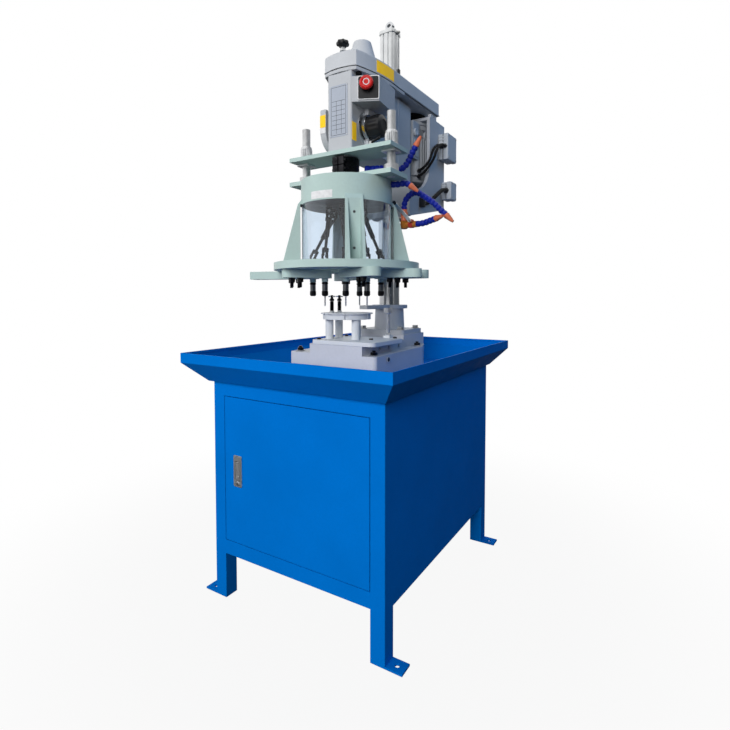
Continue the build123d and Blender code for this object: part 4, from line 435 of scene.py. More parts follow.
def block(low, high, edge=0.0):
    """A box between two corners, with rounded edges."""
    corners = ((low[0], low[1]), (high[0], low[1]), (high[0], high[1]), (low[0], high[1]))
    return extruded(corners, low[2], high[2], edge)


def ring(inner, outer, low, high, edge=0.4, steps=48):
    """A washer, collar or tube about Z with chamfered rims."""
    rim = outer - edge
    profile = ((inner, low), (rim, low), (outer, low + edge), (outer, high - edge), (rim, high),
               (inner, high))
    return turned(profile, steps, closed=True)


def hex_head(radius, height):
    chamfer = 0.14 * radius
    return solid(48, (radius, 0, hexagon), (radius, height - chamfer * 0.6, hexagon),
                 (radius - chamfer, height))


def socket_head(radius, height):
    """A cap screw's head with its hexagon socket."""
    key, deep = radius * 0.52, height * 0.45
    return solid(48, (radius, 0), (radius, height - 0.12 * radius), (radius * 0.9, height),
                 (key * 1.1, height), (key, height - 0.3, hexagon), (key, height - deep, hexagon))


def threaded(radius, low, high, pitch):
    """A stud's end with the ridges of its thread."""
    profile = []
    for k in range(int((high - low) / pitch)):
        profile += [(radius * 0.86, low + k * pitch), (radius, low + (k + 0.5) * pitch)]
    return solid(24, *profile, (radius * 0.8, high))


def swept(points, radii, steps):
    """A round skin along points, with one radius at each."""
    part = bmesh.new()
    loops = []
    side = (points[1] - points[0]).orthogonal().normalized()
    for k, (point, radius) in enumerate(zip(points, radii)):
        along = (points[min(k + 1, len(points) - 1)] - points[max(k - 1, 0)]).normalized()
        side = (side - along * side.dot(along)).normalized()
        across = along.cross(side)
        angles = (FULL_TURN * n / steps for n in range(steps))
        spread = [(side * math.cos(angle) + across * math.sin(angle)) * radius for angle in angles]
        loops.append([part.verts.new(point + out) for out in spread])
    for one, two in zip(loops, loops[1:]):
        bridge(part, one, two)
    part.faces.new(loops[0])
    part.faces.new(loops[-1])
    return closed_up(part)


class Piece:
    """One piece of the object, gathered in millimetres at its place from parts that each have a finish."""

    def __init__(self, name, place=Matrix()):
        self.name, self.place = name, place
        self.mesh = bmesh.new()
        self.finishes = []

    def add(self, part, finish, within=Matrix()):
        if finish not in self.finishes:
            self.finishes.append(finish)
        for face in part.faces:
            face.smooth = True
            face.material_index = self.finishes.index(finish)
        part.transform(self.place @ within)
        scratch = bpy.data.meshes.new("scratch")
        part.to_mesh(scratch)
        part.free()
        self.mesh.from_mesh(scratch)
        bpy.data.meshes.remove(scratch)

    def done(self, body, slot, *replaced):
        self.mesh.transform(Matrix.Scale(MM, 4))
        data = bpy.data.meshes.new(self.name)
        self.mesh.to_mesh(data)
        self.mesh.free()
        for finish in self.finishes:
            data.materials.append(finish)
        data.set_sharp_from_angle(angle=SHARP_ANGLE)
        thing = bpy.data.objects.new(self.name, data)
        bpy.context.collection.objects.link(thing)
        thing.modifiers.new("flat_normals", "WEIGHTED_NORMAL").keep_sharp = True
        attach(thing, body)
        if replaced:
            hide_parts(*replaced)
        return thing


# Camera and stage

CAMERA_AT = (0.8253, -1.3240, 0.8698)
CAMERA_YAW = 31.33
CAMERA_PITCH = 2.34
FOCAL_PX, MIDDLE_X_PX, MIDDLE_Y_PX = 488.0, 369.6, 315.8
IMAGE_PX = 730.0
FLOOR_TONE = (0.07, 0.07, 0.07, 1.0)
COOL = (0.62, 0.86, 1.0, 1.0)
WHITE = (1.0, 1.0, 1.0, 1.0)
CARD_DARK, CARD_PALE = (0.18, 0.20, 0.22, 1.0), (0.24, 0.26, 0.28, 1.0)
MIDDLE = (0.0, 0.0, 0.9)


def make_camera():
    data = bpy.data.cameras.new("camera")
    data.sensor_width = 36.0
    data.lens = FOCAL_PX / IMAGE_PX * data.sensor_width
    data.shift_x = (IMAGE_PX / 2.0 - MIDDLE_X_PX) / IMAGE_PX
    data.shift_y = (MIDDLE_Y_PX - IMAGE_PX / 2.0) / IMAGE_PX
    camera = bpy.data.objects.new("camera", data)
    camera.location = CAMERA_AT
    camera.rotation_euler = (math.radians(90.0 - CAMERA_PITCH), 0.0, math.radians(CAMERA_YAW))
    bpy.context.collection.objects.link(camera)
    bpy.context.scene.camera = camera


def background_rays(tree, *others):
    """1 for rays from the camera and for rays of the other kinds that are named."""
    path = tree.nodes.new("ShaderNodeLightPath")
    total = path.outputs["Is Camera Ray"]
    for name in others:
        add = tree.nodes.new("ShaderNodeMath")
        add.operation = "MAXIMUM"
        tree.links.new(total, add.inputs[0])
        tree.links.new(path.outputs[name], add.inputs[1])
        total = add.outputs[0]
    return total


def make_world(ambient):
    """A white background that is seen and mirrored, and lights the object only a little."""
    world = bpy.data.worlds.new("studio")
    bpy.context.scene.world = world
    world.use_nodes = True
    tree = world.node_tree
    sky = tree.nodes["Background"]
    seen = background_rays(tree, "Is Glossy Ray", "Is Transmission Ray")
    tone = tree.nodes.new("ShaderNodeMix")
    tone.data_type = "RGBA"
    tone.inputs[6].default_value = COOL
    tone.inputs[7].default_value = WHITE
    tree.links.new(seen, tone.inputs[0])
    tree.links.new(tone.outputs[2], sky.inputs["Color"])
    strength = tree.nodes.new("ShaderNodeMapRange")
    strength.inputs["To Min"].default_value = ambient
    strength.inputs["To Max"].default_value = 1.0
    tree.links.new(seen, strength.inputs["Value"])
    tree.links.new(strength.outputs["Result"], sky.inputs["Strength"])


def stage_sheet(name, width, height, material, place=Matrix()):
    """A flat sheet of the stage."""
    mesh = bpy.data.meshes.new(name)
    mesh.from_pydata([(x * width / 2.0, y * height / 2.0, 0.0) for x, y in CORNERS], [], [(0, 1, 2, 3)])
    mesh.materials.append(material)
    sheet = bpy.data.objects.new(name, mesh)
    sheet.matrix_world = place
    bpy.context.collection.objects.link(sheet)
    return sheet


def make_floor(width, glow, clear_r, far_r):
    """A floor that is near white to the camera and through the guard, and dark to all other rays."""
    floor = Finish("floor")
    floor.set(Base_Color=FLOOR_TONE, Roughness=0.5)
    white = floor.node("Emission", {"Strength": 1.0})
    reach = floor.node("VectorMath", {0: floor.place}, operation="LENGTH").outputs["Value"]
    sockets = {"Value": reach, "From Min": clear_r, "From Max": far_r, "To Min": glow, "To Max": 1.0}
    fade = floor.node("MapRange", sockets, interpolation_type="SMOOTHSTEP").outputs["Result"]
    seen = floor.math("MULTIPLY", fade, background_rays(floor.tree, "Is Transmission Ray"))
    blend = floor.node("MixShader", {0: seen, 1: floor.shader.outputs[0], 2: white.outputs[0]})
    floor.plug(floor.tree.nodes["Material Output"].inputs["Surface"], blend.outputs[0])
    stage_sheet("floor", width, width, floor.material)


def area_light(name, place, aim, size, power, colour=WHITE):
    """A soft lamp that lights the object and isn't seen itself, also not in mirrors or through glass."""
    data = bpy.data.lights.new(name, "AREA")
    data.shape = "RECTANGLE"
    data.size, data.size_y = size
    data.energy = power
    data.color = colour[:3]
    lamp = bpy.data.objects.new(name, data)
    lamp.location = place
    lamp.rotation_euler = (Vector(aim) - Vector(place)).to_track_quat("-Z", "Y").to_euler()
    lamp.visible_camera = False
    lamp.visible_glossy = False
    lamp.visible_transmission = False
    bpy.context.collection.objects.link(lamp)


def dark_card(name, place, width, height):
    """A dark upright card beside the stage, which bright metal and gloss mirror as their dark side."""
    card = Finish(name)
    tone = card.mix(card.noise(400.0), CARD_DARK, CARD_PALE)
    card.set(Base_Color=tone, Roughness=0.9, Specular_IOR_Level=0.0)
    inward = Vector((-place[0], -place[1], 0.0))
    sheet = stage_sheet(name, width, height, card.material, facing(Vector(place), inward))
    sheet.visible_camera = False
    sheet.visible_shadow = False
    sheet.visible_transmission = False


bpy.context.scene.view_settings.view_transform = "Standard"
make_camera()
make_world(ambient=0.05)
make_floor(width=80.0, glow=0.93, clear_r=0.5, far_r=1.6)
area_light("key", (0.75, -4.5, 2.4), MIDDLE, (3.4, 2.6), 200.0)
area_light("left", (-3.6, -2.4, 2.2), MIDDLE, (2.0, 2.0), 50.0)
area_light("right", (2.2, 0.8, 2.9), (0.0, 0.1, 1.6), (1.2, 1.2), 16.0, (0.10, 0.44, 1.0))
area_light("back", (-1.8, 2.8, 2.4), MIDDLE, (1.6, 1.6), 45.0)
dark_card("card_right", (2.65, 1.8, 1.6), 6.0, 3.4)
dark_card("card_front", (-1.5, -3.4, 0.6), 1.8, 1.2)
dark_card("card_near", (2.4, -1.9, 1.6), 2.8, 3.4)


# Cords: modular coolant hoses on the multi-spindle head, cables on the motor

HOSE_R = 9.5
HOSE_PITCH = 13.5
HOSE_BEAD = ((0.0, 7.0), (0.08, 8.3), (0.26, 9.4), (0.45, 9.5), (0.66, 9.3), (0.84, 8.4), (0.94, 7.2))
NOZZLE_LENGTH = 30.0
NOZZLE_TIP_R = 4.0
HOSES = (
    ("over_valve", 0.197, (
        (131, 20, 1133), (131, 20, 1155), (148, 19, 1177), (175, 18, 1184), (201, 18, 1166), (227, 19, 1148),
        (249, 20, 1125), (269, 20, 1106))),
    ("beside_valve", None, ((173, 20, 1087), (195, 20, 1087), (219, 14, 1092), (242, 6, 1096))),
    ("over_plate", 0.171, (
        (62, -58, 1249), (90, -58, 1249), (117, -46, 1243), (143, -31, 1240), (162, -21, 1258),
        (174, -18, 1284), (189, -18, 1308))),
    ("beside_drum", None, (
        (138.14, -49.72, 1196), (152.23, -44.59, 1196), (167.23, -38.59, 1201), (178.23, -34.59, 1192))),
)
CABLES = (
    ("motor_cable_upper", 0.182, 4.5, (
        (112, 348, 1412.5), (112, 320, 1412.5), (112, 294, 1398.5), (110, 275, 1376.5), (107, 265, 1350.5),
        (98.63, 254.15, 1328.25), (84.26, 247.29, 1314), (65.88, 262.72, 1314))),
    ("motor_cable_lower", 0.205, 4.5, (
        (127, 348, 1412.5), (127, 320, 1412.5), (127, 294, 1398.5), (125, 275, 1376.5), (122, 265, 1350.5),
        (106.13, 254.15, 1318.75), (84.26, 247.29, 1295), (65.88, 262.72, 1295))),
    ("supply_lead", 0.193, 7.0, (
        (120, 378, 1258.5), (120, 356, 1258.5), (120, 330, 1248.5), (120, 303, 1233.5), (118, 276, 1216),
        (113, 250, 1198), (109, 226, 1187), (109, 204, 1187))),
)


def route_curve(name, points):
    """The smooth line of a route, with the route's points as its control points."""
    curve = bpy.data.curves.new(name, "CURVE")
    curve.dimensions = "3D"
    spline = curve.splines.new("NURBS")
    spline.points.add(len(points) - 1)
    for control, point in zip(spline.points, points):
        control.co = (*(value * MM for value in point), 1.0)
    spline.order_u = 3
    spline.use_endpoint_u = True
    spline.resolution_u = 24
    thing = bpy.data.objects.new(name, curve)
    bpy.context.collection.objects.link(thing)
    return thing


def route_line(name, points):
    """Points along a route's smooth line, in millimetres."""
    thing = route_curve(name, points)
    line = bpy.data.meshes.new_from_object(thing.evaluated_get(bpy.context.evaluated_depsgraph_get()))
    found = [vert.co / MM for vert in line.vertices]
    curve = thing.data
    bpy.data.objects.remove(thing)
    bpy.data.curves.remove(curve)
    bpy.data.meshes.remove(line)
    return found


def spaced(line, places):
    """The points of a line at given distances from its start."""
    found = []
    k, passed = 0, 0.0
    step = (line[1] - line[0]).length
    for place in places:
        while place > passed + step and k < len(line) - 2:
            k, passed = k + 1, passed + step
            step = (line[k + 1] - line[k]).length
        found.append(line[k].lerp(line[k + 1], min(1.0, (place - passed) / step)))
    return found


def hose_nozzle(name, route):
    """A tapered spout on the end of a hose."""
    tip, end, tip_r, bore_deep = Vector(route[-1]), NOZZLE_LENGTH, NOZZLE_TIP_R, 9.0
    spout = solid(32, (HOSE_R - 1.6, -1), (HOSE_R - 0.4, 0.6), (HOSE_R, 1.6), (HOSE_R, 5.0),
                  (HOSE_R - 0.9, 6.4), (tip_r + 1.2, end - 5.0), (tip_r, end - 3.0), (tip_r, end),
                  (tip_r - 1.0, end), (tip_r - 1.0, end - bore_deep))
    nozzle = Piece("nozzle_" + name, facing(tip, tip - Vector(route[-2]), (1.0, 0.3, 0.2)))
    nozzle.add(spout, ORANGE)
    return nozzle.done("multi_head", "valve_orange", "hose_nozzles")


def coolant_hose(name, length, route):
    """A hose of beads along its route, with its nozzle."""
    line = route_line(name + "_line", route)
    total = sum((two - one).length for one, two in zip(line, line[1:]))
    beads = round(total / HOSE_PITCH)
    places = [(bead + share) * total / beads for bead in range(beads) for share, radius in HOSE_BEAD]
    radii = [radius for share, radius in HOSE_BEAD] * beads
    skin = Piece("hose_" + name)
    skin.add(swept(spaced(line, places + [total]), radii + radii[:1], 24), HOSE_BLUE)
    hose = skin.done("multi_head", "hose_blue", "coolant_hoses")
    nozzle = hose_nozzle(name, route)


def motor_cable(name, length, radius, route):
    cable = route_curve(name, route)
    cable.data.bevel_depth = radius * MM
    cable.data.bevel_resolution = 8
    cable.data.use_fill_caps = True
    cable.data.materials.append(RUBBER)
    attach(cable, "stand")
    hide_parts("motor_cables")


# Stand

def door_lock():
    """A flush paddle lock: plated bezel with a pocket, the paddle, and a key barrel below it."""
    box, lever = box_of("door_lock"), box_of("lock_lever").half
    pocket_deep, wall = 12.0, 1.0
    place = facing((box.middle.x, box.low.y, box.middle.z), -Y_AXIS)
    pocket = rounded(lever.x - 2.0, lever.z + 1.5, 2.5)
    shell = rounded(lever.x - 0.8, lever.z + 2.7, 3.0)
    barrel = at(0, -(box.half.z + lever.z) / 2.0 - 0.5, 0)
    lock = Piece("lock_bezel", place)
    lock.add(framed(rounded(box.half.x, box.half.z, 4.0), pocket, -2.0, 0.0, 0.6), SATIN)
    lock.add(framed(shell, pocket, -pocket_deep, -1.0), SATIN)
    lock.add(extruded(shell, -pocket_deep - wall, -pocket_deep), SATIN)
    lock.add(solid(32, (6.6, -1.0), (6.6, 0.6), (5.9, 1.2)), CHROME, barrel)
    lock.add(block((-0.7, -3.2, 1.0), (0.7, 3.2, 1.4)), BLACK_PLASTIC, barrel)
    lock.done("door", "lock_zinc", "door_lock")
    paddle = Piece("lock_paddle", place)
    paddle.add(extruded(rounded(lever.x - 3.0, lever.z, 2.0), -5.0, 0.0, 0.9), SATIN)
    paddle.add(extruded(rounded(lever.x - 5.5, 5.5, 1.5), 0.0, 0.5, 0.25), SATIN, at(0, 7.0 - lever.z, 0))
    paddle.done("lock_lever", "lever_chrome", "lock_lever")


def base_bolts():
    """Nuts on studs at the base's flange, hexagon bolts on the column's foot."""
    washer_h, washer_r, head_h, head_r, shank_r = 2.5, 13.0, 8.0, 10.0, 6.0
    stud_r, stud_low, stud_high, pitch = 5.4, 10.0, 15.5, 1.5
    column_seat = box_of("base_casting").high.z
    bolts = Piece("base_bolt_set")
    for box in islands("anchor_bolts"):
        place = box.upright(box.high.z - washer_h - head_h)
        on_foot = box.high.z > column_seat
        turn = Matrix.Rotation(0.4 * box.high.x / box.high.y, 4, "Z")
        bolts.add(ring(shank_r, washer_r, 0.0, washer_h), ZINC, place)
        finish = ZINC if on_foot else BLACK_STEEL
        bolts.add(hex_head(head_r, head_h), finish, place @ at(0, 0, washer_h) @ turn)
        bolts.add(rod(shank_r, washer_h + head_h - 2.0 * box.half.z, 0.0, 24), ZINC, place)
        if not on_foot:
            bolts.add(threaded(stud_r, stud_low, stud_high, pitch), BLACK_STEEL, place)
    bolts.done("stand", "zinc_steel", "anchor_bolts")


def leg_screws():
    """Small screws on the faces of the multi-spindle head's legs, apart from the leg at the valve."""
    leg_angles, leg_face_r, heights = (132.0, 222.0, 312.0), 146.0, (1000.0, 1098.0)
    screws = Piece("leg_screws", at(*HEAD_AXIS))
    for angle in leg_angles:
        out = level(angle)
        for z in heights:
            screws.add(socket_head(3.6, 1.2), IRON, facing(out * leg_face_r + Z_AXIS * z, out))
    screws.done("multi_head", "black_oxide")


# Work fixture

def add_stop_post(pins, foot, tall):
    """A round post with a thick head on a square foot."""
    pins.add(block((-11, -11, 0), (11, 11, 9), 1.2), FIXTURE, foot)
    post = solid(40, (9, 9), (9, 12), (6, 14), (6, tall - 17), (9, tall - 16), (13, tall - 14),
                 (13, tall - 2), (11.5, tall))
    pins.add(post, STEEL, foot)
    pins.add(socket_head(5.0, 3.0), BLACK_STEEL, foot @ at(0, 0, tall - 2.5))


def add_spring_pin(pins, foot, tall):
    """A pin in a coil spring, with a cap and a cross bar."""
    coils, pitch, cap = 11, 2.6, tall - 18.0
    spring = [(0, 5.0)]
    for k in range(coils):
        spring += [(5.0, 6.0 + pitch * k), (6.6, 7.3 + pitch * k)]
    spring.append((0, cap + 0.5))
    pins.add(solid(32, (7, 0), (7, 5), (5.5, 6)), STEEL, foot)
    pins.add(turned(spring, 32), BLACK_STEEL, foot)
    pins.add(solid(32, (7, cap), (7, cap + 6), (4, cap + 8), (4, tall)), BLACK_STEEL, foot)
    bar = solid(20, (1.5, -12.5), (2, -12), (2, 12), (1.5, 12.5))
    pins.add(bar, STEEL, foot @ facing((0, 0, tall - 4.0), X_AXIS))


def fixture_base():
    """The fixture's lower plate with its four screws."""
    box = box_of("fixture_plate")
    low, high = box.low, box.high
    plate = Piece("fixture_base_plate", at(0, 0, high.z))
    plate.add(extruded(rounded(box.half.x, box.half.y, 14.0, box.middle), low.z - high.z, 0.0, 1.0), FIXTURE)
    for x, y in ((low.x + 18, high.y - 18), (low.x + 18, low.y + 18), (high.x - 20, high.y - 20),
                 (high.x - 56, box.middle.y - 10)):
        plate.add(ring(6.2, 9.0, -0.4, 0.5, 0.3, 32), FIXTURE, at(x, y, 0))
        plate.add(socket_head(6.0, 5.0), BLACK_STEEL, at(x, y, -0.5))
    plate.done("stand", "fixture_steel", "fixture_plate")


def work_pins():
    """The locators on the table: the tall ones are stop posts, the others spring pins."""
    shortest_post = 60.0
    pins = Piece("work_pins")
    for box in islands("work_locators"):
        tall = 2.0 * box.half.z
        add_locator = add_stop_post if tall > shortest_post else add_spring_pin
        add_locator(pins, box.upright(box.low.z), tall)
    pins.done("stand", "bush_steel", "work_locators")


# Drill head

def stop_button():
    """A red mushroom on a black plate with a pale frame."""
    out, offset = level(-65.0), (4.5, -9.0)
    place = facing(box_of("estop_button").middle - out * 3.0, out)
    button = Piece("stop_mushroom", place)
    button.add(rod(11, -14, 9, 40), BLACK_PLASTIC)
    button.add(turned(((0, 9), (15, 9), (18.8, 10.2), (20, 12.6), (20, 16), (18.9, 19.0), (16.2, 21.2),
                       (14.2, 21.4), (12.6, 20.8), (6.0, 20.2), (0, 20.0)), 56), STOP_RED)
    button.add(ring(7.2, 9.4, 20.1, 20.75, 0.2, 48), LABEL_WHITE)
    button.done("estop_button", "stop_red", "estop_button")
    face = rounded(29, 31, 4, offset)
    plate = Piece("stop_plate", place)
    plate.add(extruded(face, 0.0, 1.4, 0.3), BLACK_PLASTIC)
    plate.add(framed(rounded(31.5, 33.5, 4.5, offset), face, 0.0, 2.4, 0.5), LABEL_WHITE)
    plate.add(ring(11.4, 15.5, 1.0, 3.2, 0.8), BLACK_PLASTIC)
    plate.done("stand", "black_plastic")


def feed_dial():
    """A black hub with a chrome ring, on a bright flange that is fixed to the casing."""
    middle = box_of("feed_dial").middle
    place = facing((0, middle.y, middle.z), X_AXIS)
    grip = lobes(12, 0.05)
    marks, marks_end, mark_h, long_mark_h = 40, 59.0, 4.5, 7.5
    dial = Piece("dial_wheel", place)
    dial.add(rod(18, 20, 47, 40), STEEL)
    dial.add(solid(56, (33, 46.5), (34, 47.5), (34, 50)), BLACK_PLASTIC)
    dial.add(ring(30.0, 38.5, 50.0, 61.0, 1.6, 72), CHROME)
    dial.add(rod(31, 61, 65, 56), BLACK_PLASTIC)
    hub = solid(72, (32, 65), (34, 67, grip), (34, 94, grip), (31, 102), (25, 105), (17, 106), (16, 104.6))
    dial.add(hub, BLACK_PLASTIC)
    for k, spoke in enumerate(spokes(marks)):
        start = marks_end - (mark_h if k % 5 else long_mark_h)
        dial.add(block((38.2, -0.25, start), (38.65, 0.25, marks_end)), BLACK_PLASTIC, spoke)
    dial.done("feed_dial", "dial_chrome", "feed_dial")
    flange = Piece("dial_flange", place)
    flange.add(ring(18.6, 46.0, 41.0, 46.0, 0.8, 64), SATIN)
    for spoke in spokes(3, 0.4):
        flange.add(socket_head(3.0, 1.6), BLACK_STEEL, spoke @ at(41.5, 0, 46.0))
    flange.done("stand", "bush_steel")


def cover_knob():
    """A star knob on its steel stud."""
    box = box_of("cover_knob")
    star = lobes(7, 0.22)
    knob = Piece("lid_knob", box.upright(box.high.z))
    knob.add(solid(32, (5, -44), (5, -30), (8.5, -30), (8.5, -25), (7, -23), (7, -18)), STEEL)
    knob.add(solid(70, (9, -19), (11.5, -15), (17.5, -13, star), (19.5, -10, star), (19.5, -5, star),
                   (17.5, -1.6, star), (13, -0.4), (8, 0), (7, -0.9)), BLACK_PLASTIC)
    knob.done("cover_knob", "black_plastic", "cover_knob")


def section_loop(node, height):
    """The points around a node where it is cut at a height, in millimetres, counter-clockwise."""
    mesh = bmesh.new()
    mesh.from_mesh(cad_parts[node].data)
    mesh.transform(Matrix.Scale(1.0 / MM, 4))
    bmesh.ops.remove_doubles(mesh, verts=mesh.verts, dist=0.01)
    whole = mesh.verts[:] + mesh.edges[:] + mesh.faces[:]
    bmesh.ops.bisect_plane(mesh, geom=whole, plane_co=(0, 0, height), plane_no=Z_AXIS, clear_inner=True,
                           clear_outer=True)
    here, before = min(mesh.verts, key=lambda vert: vert.co.y), None
    walked = []
    while here not in walked:
        walked.append(here)
        onward = [edge.other_vert(here) for edge in here.link_edges if edge.other_vert(here) is not before]
        here, before = onward[0], here
    loop = [vert.co.copy() for vert in walked]
    mesh.free()
    turning = sum(one.cross(two).z for one, two in zip(loop, loop[1:] + loop[:1]))
    return loop if turning > 0 else loop[::-1]


def edge_strip(loop, section):
    """A strip around a loop, whose section's points are distances outward and heights."""
    part = bmesh.new()
    rows = []
    for k, point in enumerate(loop):
        coming = (point - loop[k - 1]).normalized()
        leaving = (loop[(k + 1) % len(loop)] - point).normalized()
        out = (coming + leaving).normalized().cross(Z_AXIS)
        out /= max(out.dot(coming.cross(Z_AXIS)), 0.5)
        places = [(point.x + out.x * far, point.y + out.y * far, up) for far, up in section]
        rows.append([part.verts.new(place) for place in places])
    for one, two in zip(rows, rows[1:] + rows[:1]):
        bridge(part, one, two)
    return closed_up(part)


def lid_lip():
    """A rolled lip along the lid's lower edge, and a rubber seal between lid and pan."""
    seam, inside = box_of("belt_cover").low.z, 1.0
    lid, pan = section_loop("belt_cover", seam + inside), section_loop("head_casting", seam - inside)
    rolled = ((-0.4, 0.2), (1.6, 0.2), (2.2, 0.9), (2.2, 2.4), (1.4, 3.2), (-0.4, 3.6))
    seal = ((-0.8, -1.4), (0.4, -1.4), (0.7, -1.0), (0.7, 0.0), (0.4, 0.4), (-0.8, 0.4))
    lip = Piece("lid_lip", at(0, 0, seam))
    lip.add(edge_strip(lid, rolled), LID_GREY)
    lip.add(edge_strip(pan, seal), RUBBER)
    lip.done("stand", "lid_grey")


def grooved_square(half, corner_r, groove_at, groove_half, groove_deep):
    """A round-cornered square outline with two grooves along each side."""
    points = []
    for quarter in range(4):
        turn = Matrix.Rotation(math.pi / 2.0 * quarter, 2)
        side = []
        for middle in (-groove_at, groove_at):
            for along, deep in ((-1, 0), (-1, 1), (1, 1), (1, 0)):
                side.append((half - groove_deep * deep, middle + groove_half * along))
        for k in range(7):
            angle = math.pi / 12.0 * k
            side.append((half - corner_r * (1 - math.cos(angle)), half - corner_r * (1 - math.sin(angle))))
        points += [tuple(turn @ Vector(point)) for point in side]
    return points


def feed_cylinder():
    """An air cylinder: a grooved barrel between square ends, with an eye on top and a port at each end."""
    box = box_of("feed_cylinder")
    half = box.half.x
    end_h, barrel_top, eye_up, screw_out = 12.0, 182.0, 21.0, 20.0
    cylinder = Piece("air_cylinder", box.upright(box.low.z))
    barrel = grooved_square(half - 1.5, 15.0, 9.0, 2.2, 3.0)
    cylinder.add(extruded(barrel, end_h, barrel_top - 10.0), ALUMINIUM)
    for z in (0.0, barrel_top - end_h):
        cylinder.add(extruded(rounded(half, half, 13.0), z, z + end_h, 1.6), ALUMINIUM)
    for x, y in CORNERS:
        cylinder.add(socket_head(5.0, 3.0), ZINC, at(x * screw_out, y * screw_out, barrel_top - 0.4))
    cylinder.add(solid(40, (17, 0), (17, 5), (14, 8), (13, 12)), CHROME, at(0, 0, barrel_top))
    cylinder.add(ring(7.0, 15.0, -7.0, 7.0, 2.0), CHROME, facing((0, 0, barrel_top + eye_up), Y_AXIS))
    cylinder.add(block((half - 2.5, 4, 14), (half + 2.5, 16, 58), 1.2), BLACK_PLASTIC)
    for z in (8.0, barrel_top - 6.0):
        cylinder.add(solid(32, (6, 0), (6, 3), (4, 4), (4, 8)), ZINC, facing((half, 0, z), X_AXIS))
    cylinder.done("stand", "cylinder_aluminium", "feed_cylinder")


def motor():
    """A square-bodied motor with ribbed sides, a mounting block on its front and a fan cover below."""
    box = box_of("motor")
    radius, tall = box.half.x, 2.0 * box.half.z
    axis_y = box.high.y - radius
    half, front = 0.84 * radius, box.low.y - axis_y
    place, top = at(box.middle.x, axis_y, box.low.z), at(0, 0, tall)
    rib_gap, rib_half, rib_end = 18.0, 2.0, 56.0
    body = Piece("motor_body", place)
    body.add(block((-half, front, -140.0), (half, 20.0 - half, -10.0), 3.0), MOTOR_GREY, top)
    body.add(block((-half - 3.0, front + 4.0, -56.0), (half + 3.0, 8.0 - half, -44.0), 1.5), MOTOR_GREY, top)
    boss = solid(40, (13, 0), (13, 6), (11.5, 8), (7, 8), (6, 7))
    body.add(boss, BOX_GREY, top @ facing((half, front + 14.0, -50.0), X_AXIS))
    body.add(block((half - 0.5, front + 10.0, -132.0), (half + 2.5, 2.0 - half, -74.0), 1.2), MOTOR_GREY, top)
    body.add(extruded(rounded(half, half, 16.0), 26.0, tall - 26.0, 2.0), MOTOR_GREY)
    for side in spokes(4):
        for along in range(-2, 3):
            y = along * rib_gap
            rib = block((half - 1.0, y - rib_half, rib_end), (half + 4.0, y + rib_half, tall - rib_end), 1.2)
            body.add(rib, MOTOR_GREY, side)
        disc = solid(40, (15, 0), (15, 5), (13.5, 6.5))
        body.add(disc, MOTOR_GREY, side @ facing((half, 0, tall - 42.0), X_AXIS))
    flange = solid(64, (radius - 6, -28), (radius - 4, -26), (radius - 4, -12), (radius, -10), (radius, 0))
    body.add(flange, MOTOR_GREY, top)
    fan_cover = ((0, 1), (20, 0), (56, 0), (radius - 6, 6), (radius - 4, 12), (radius - 4, 30), (0, 30))
    body.add(turned(fan_cover, 64), MOTOR_GREY)
    for spoke in spokes(12):
        body.add(block((24, -2.2, -0.3), (52, 2.2, 0.6)), BLACK_PLASTIC, spoke)
    body.done("stand", "motor_paint", "motor")
    neck = Piece("motor_neck", place @ top)
    neck.add(turned(((12.5, 0), (34, 0), (44, 10), (56, 22), (60, 32), (12.5, 32)), 56, closed=True), RUBBER)
    neck.done("stand", "belt_rubber")


def terminal_boxes():
    """Boxes with lids, seals and corner screws, the supply lead's clip, and the cables' glands."""
    clip_h, lid_share, screw_in, first_rib, rib_step = 40.0, 0.45, 9.0, 0.62, 0.12
    boxes = Piece("motor_boxes")
    for box in islands("terminal_boxes"):
        low, high, tall = box.low, box.high, 2.0 * box.half.z
        if tall < clip_h:
            boxes.add(block(low, high, 2.0), BLACK_PLASTIC)
            continue
        seam = low.x + lid_share * (high.x - low.x)
        layers = ((low.x, seam, 1.5, 3.0, BOX_GREY), (seam - 1.0, seam + 1.0, 3.0, 0.0, RUBBER),
                  (seam + 0.8, high.x, 0.0, 5.0, BOX_GREY))
        for start, end, inset, edge, finish in layers:
            near, far = (start, low.y + inset, low.z + inset), (end, high.y - inset, high.z - inset)
            boxes.add(block(near, far, edge), finish)
        for y in (low.y + screw_in, high.y - screw_in):
            for z in (low.z + screw_in, high.z - screw_in):
                boxes.add(socket_head(3.4, 1.6), ZINC, facing((high.x - 0.4, y, z), X_AXIS))
        for rib in range(3):
            z = low.z + tall * (first_rib + rib_step * rib)
            boxes.add(block((low.x + 3, low.y - 0.6, z), (high.x - 6, low.y + 1.8, z + 3.0), 0.6), BOX_GREY)
    for cable_facts in CABLES:
        r, route = cable_facts[2:]
        gland = solid(48, (r + 4.5, -4, hexagon), (r + 4.5, 2, hexagon), (r + 3, 3), (r + 2.6, 7),
                      (r + 0.3, 10))
        boxes.add(gland, BLACK_PLASTIC, facing(route[0], Vector(route[1]) - Vector(route[0])))
        gland = solid(48, (r + 3.5, -6, hexagon), (r + 3.5, 1, hexagon), (r + 2, 3), (r + 0.3, 7))
        boxes.add(gland, BLACK_PLASTIC, facing(route[-1], Vector(route[-2]) - Vector(route[-1])))
    boxes.done("stand", "box_grey", "terminal_boxes")


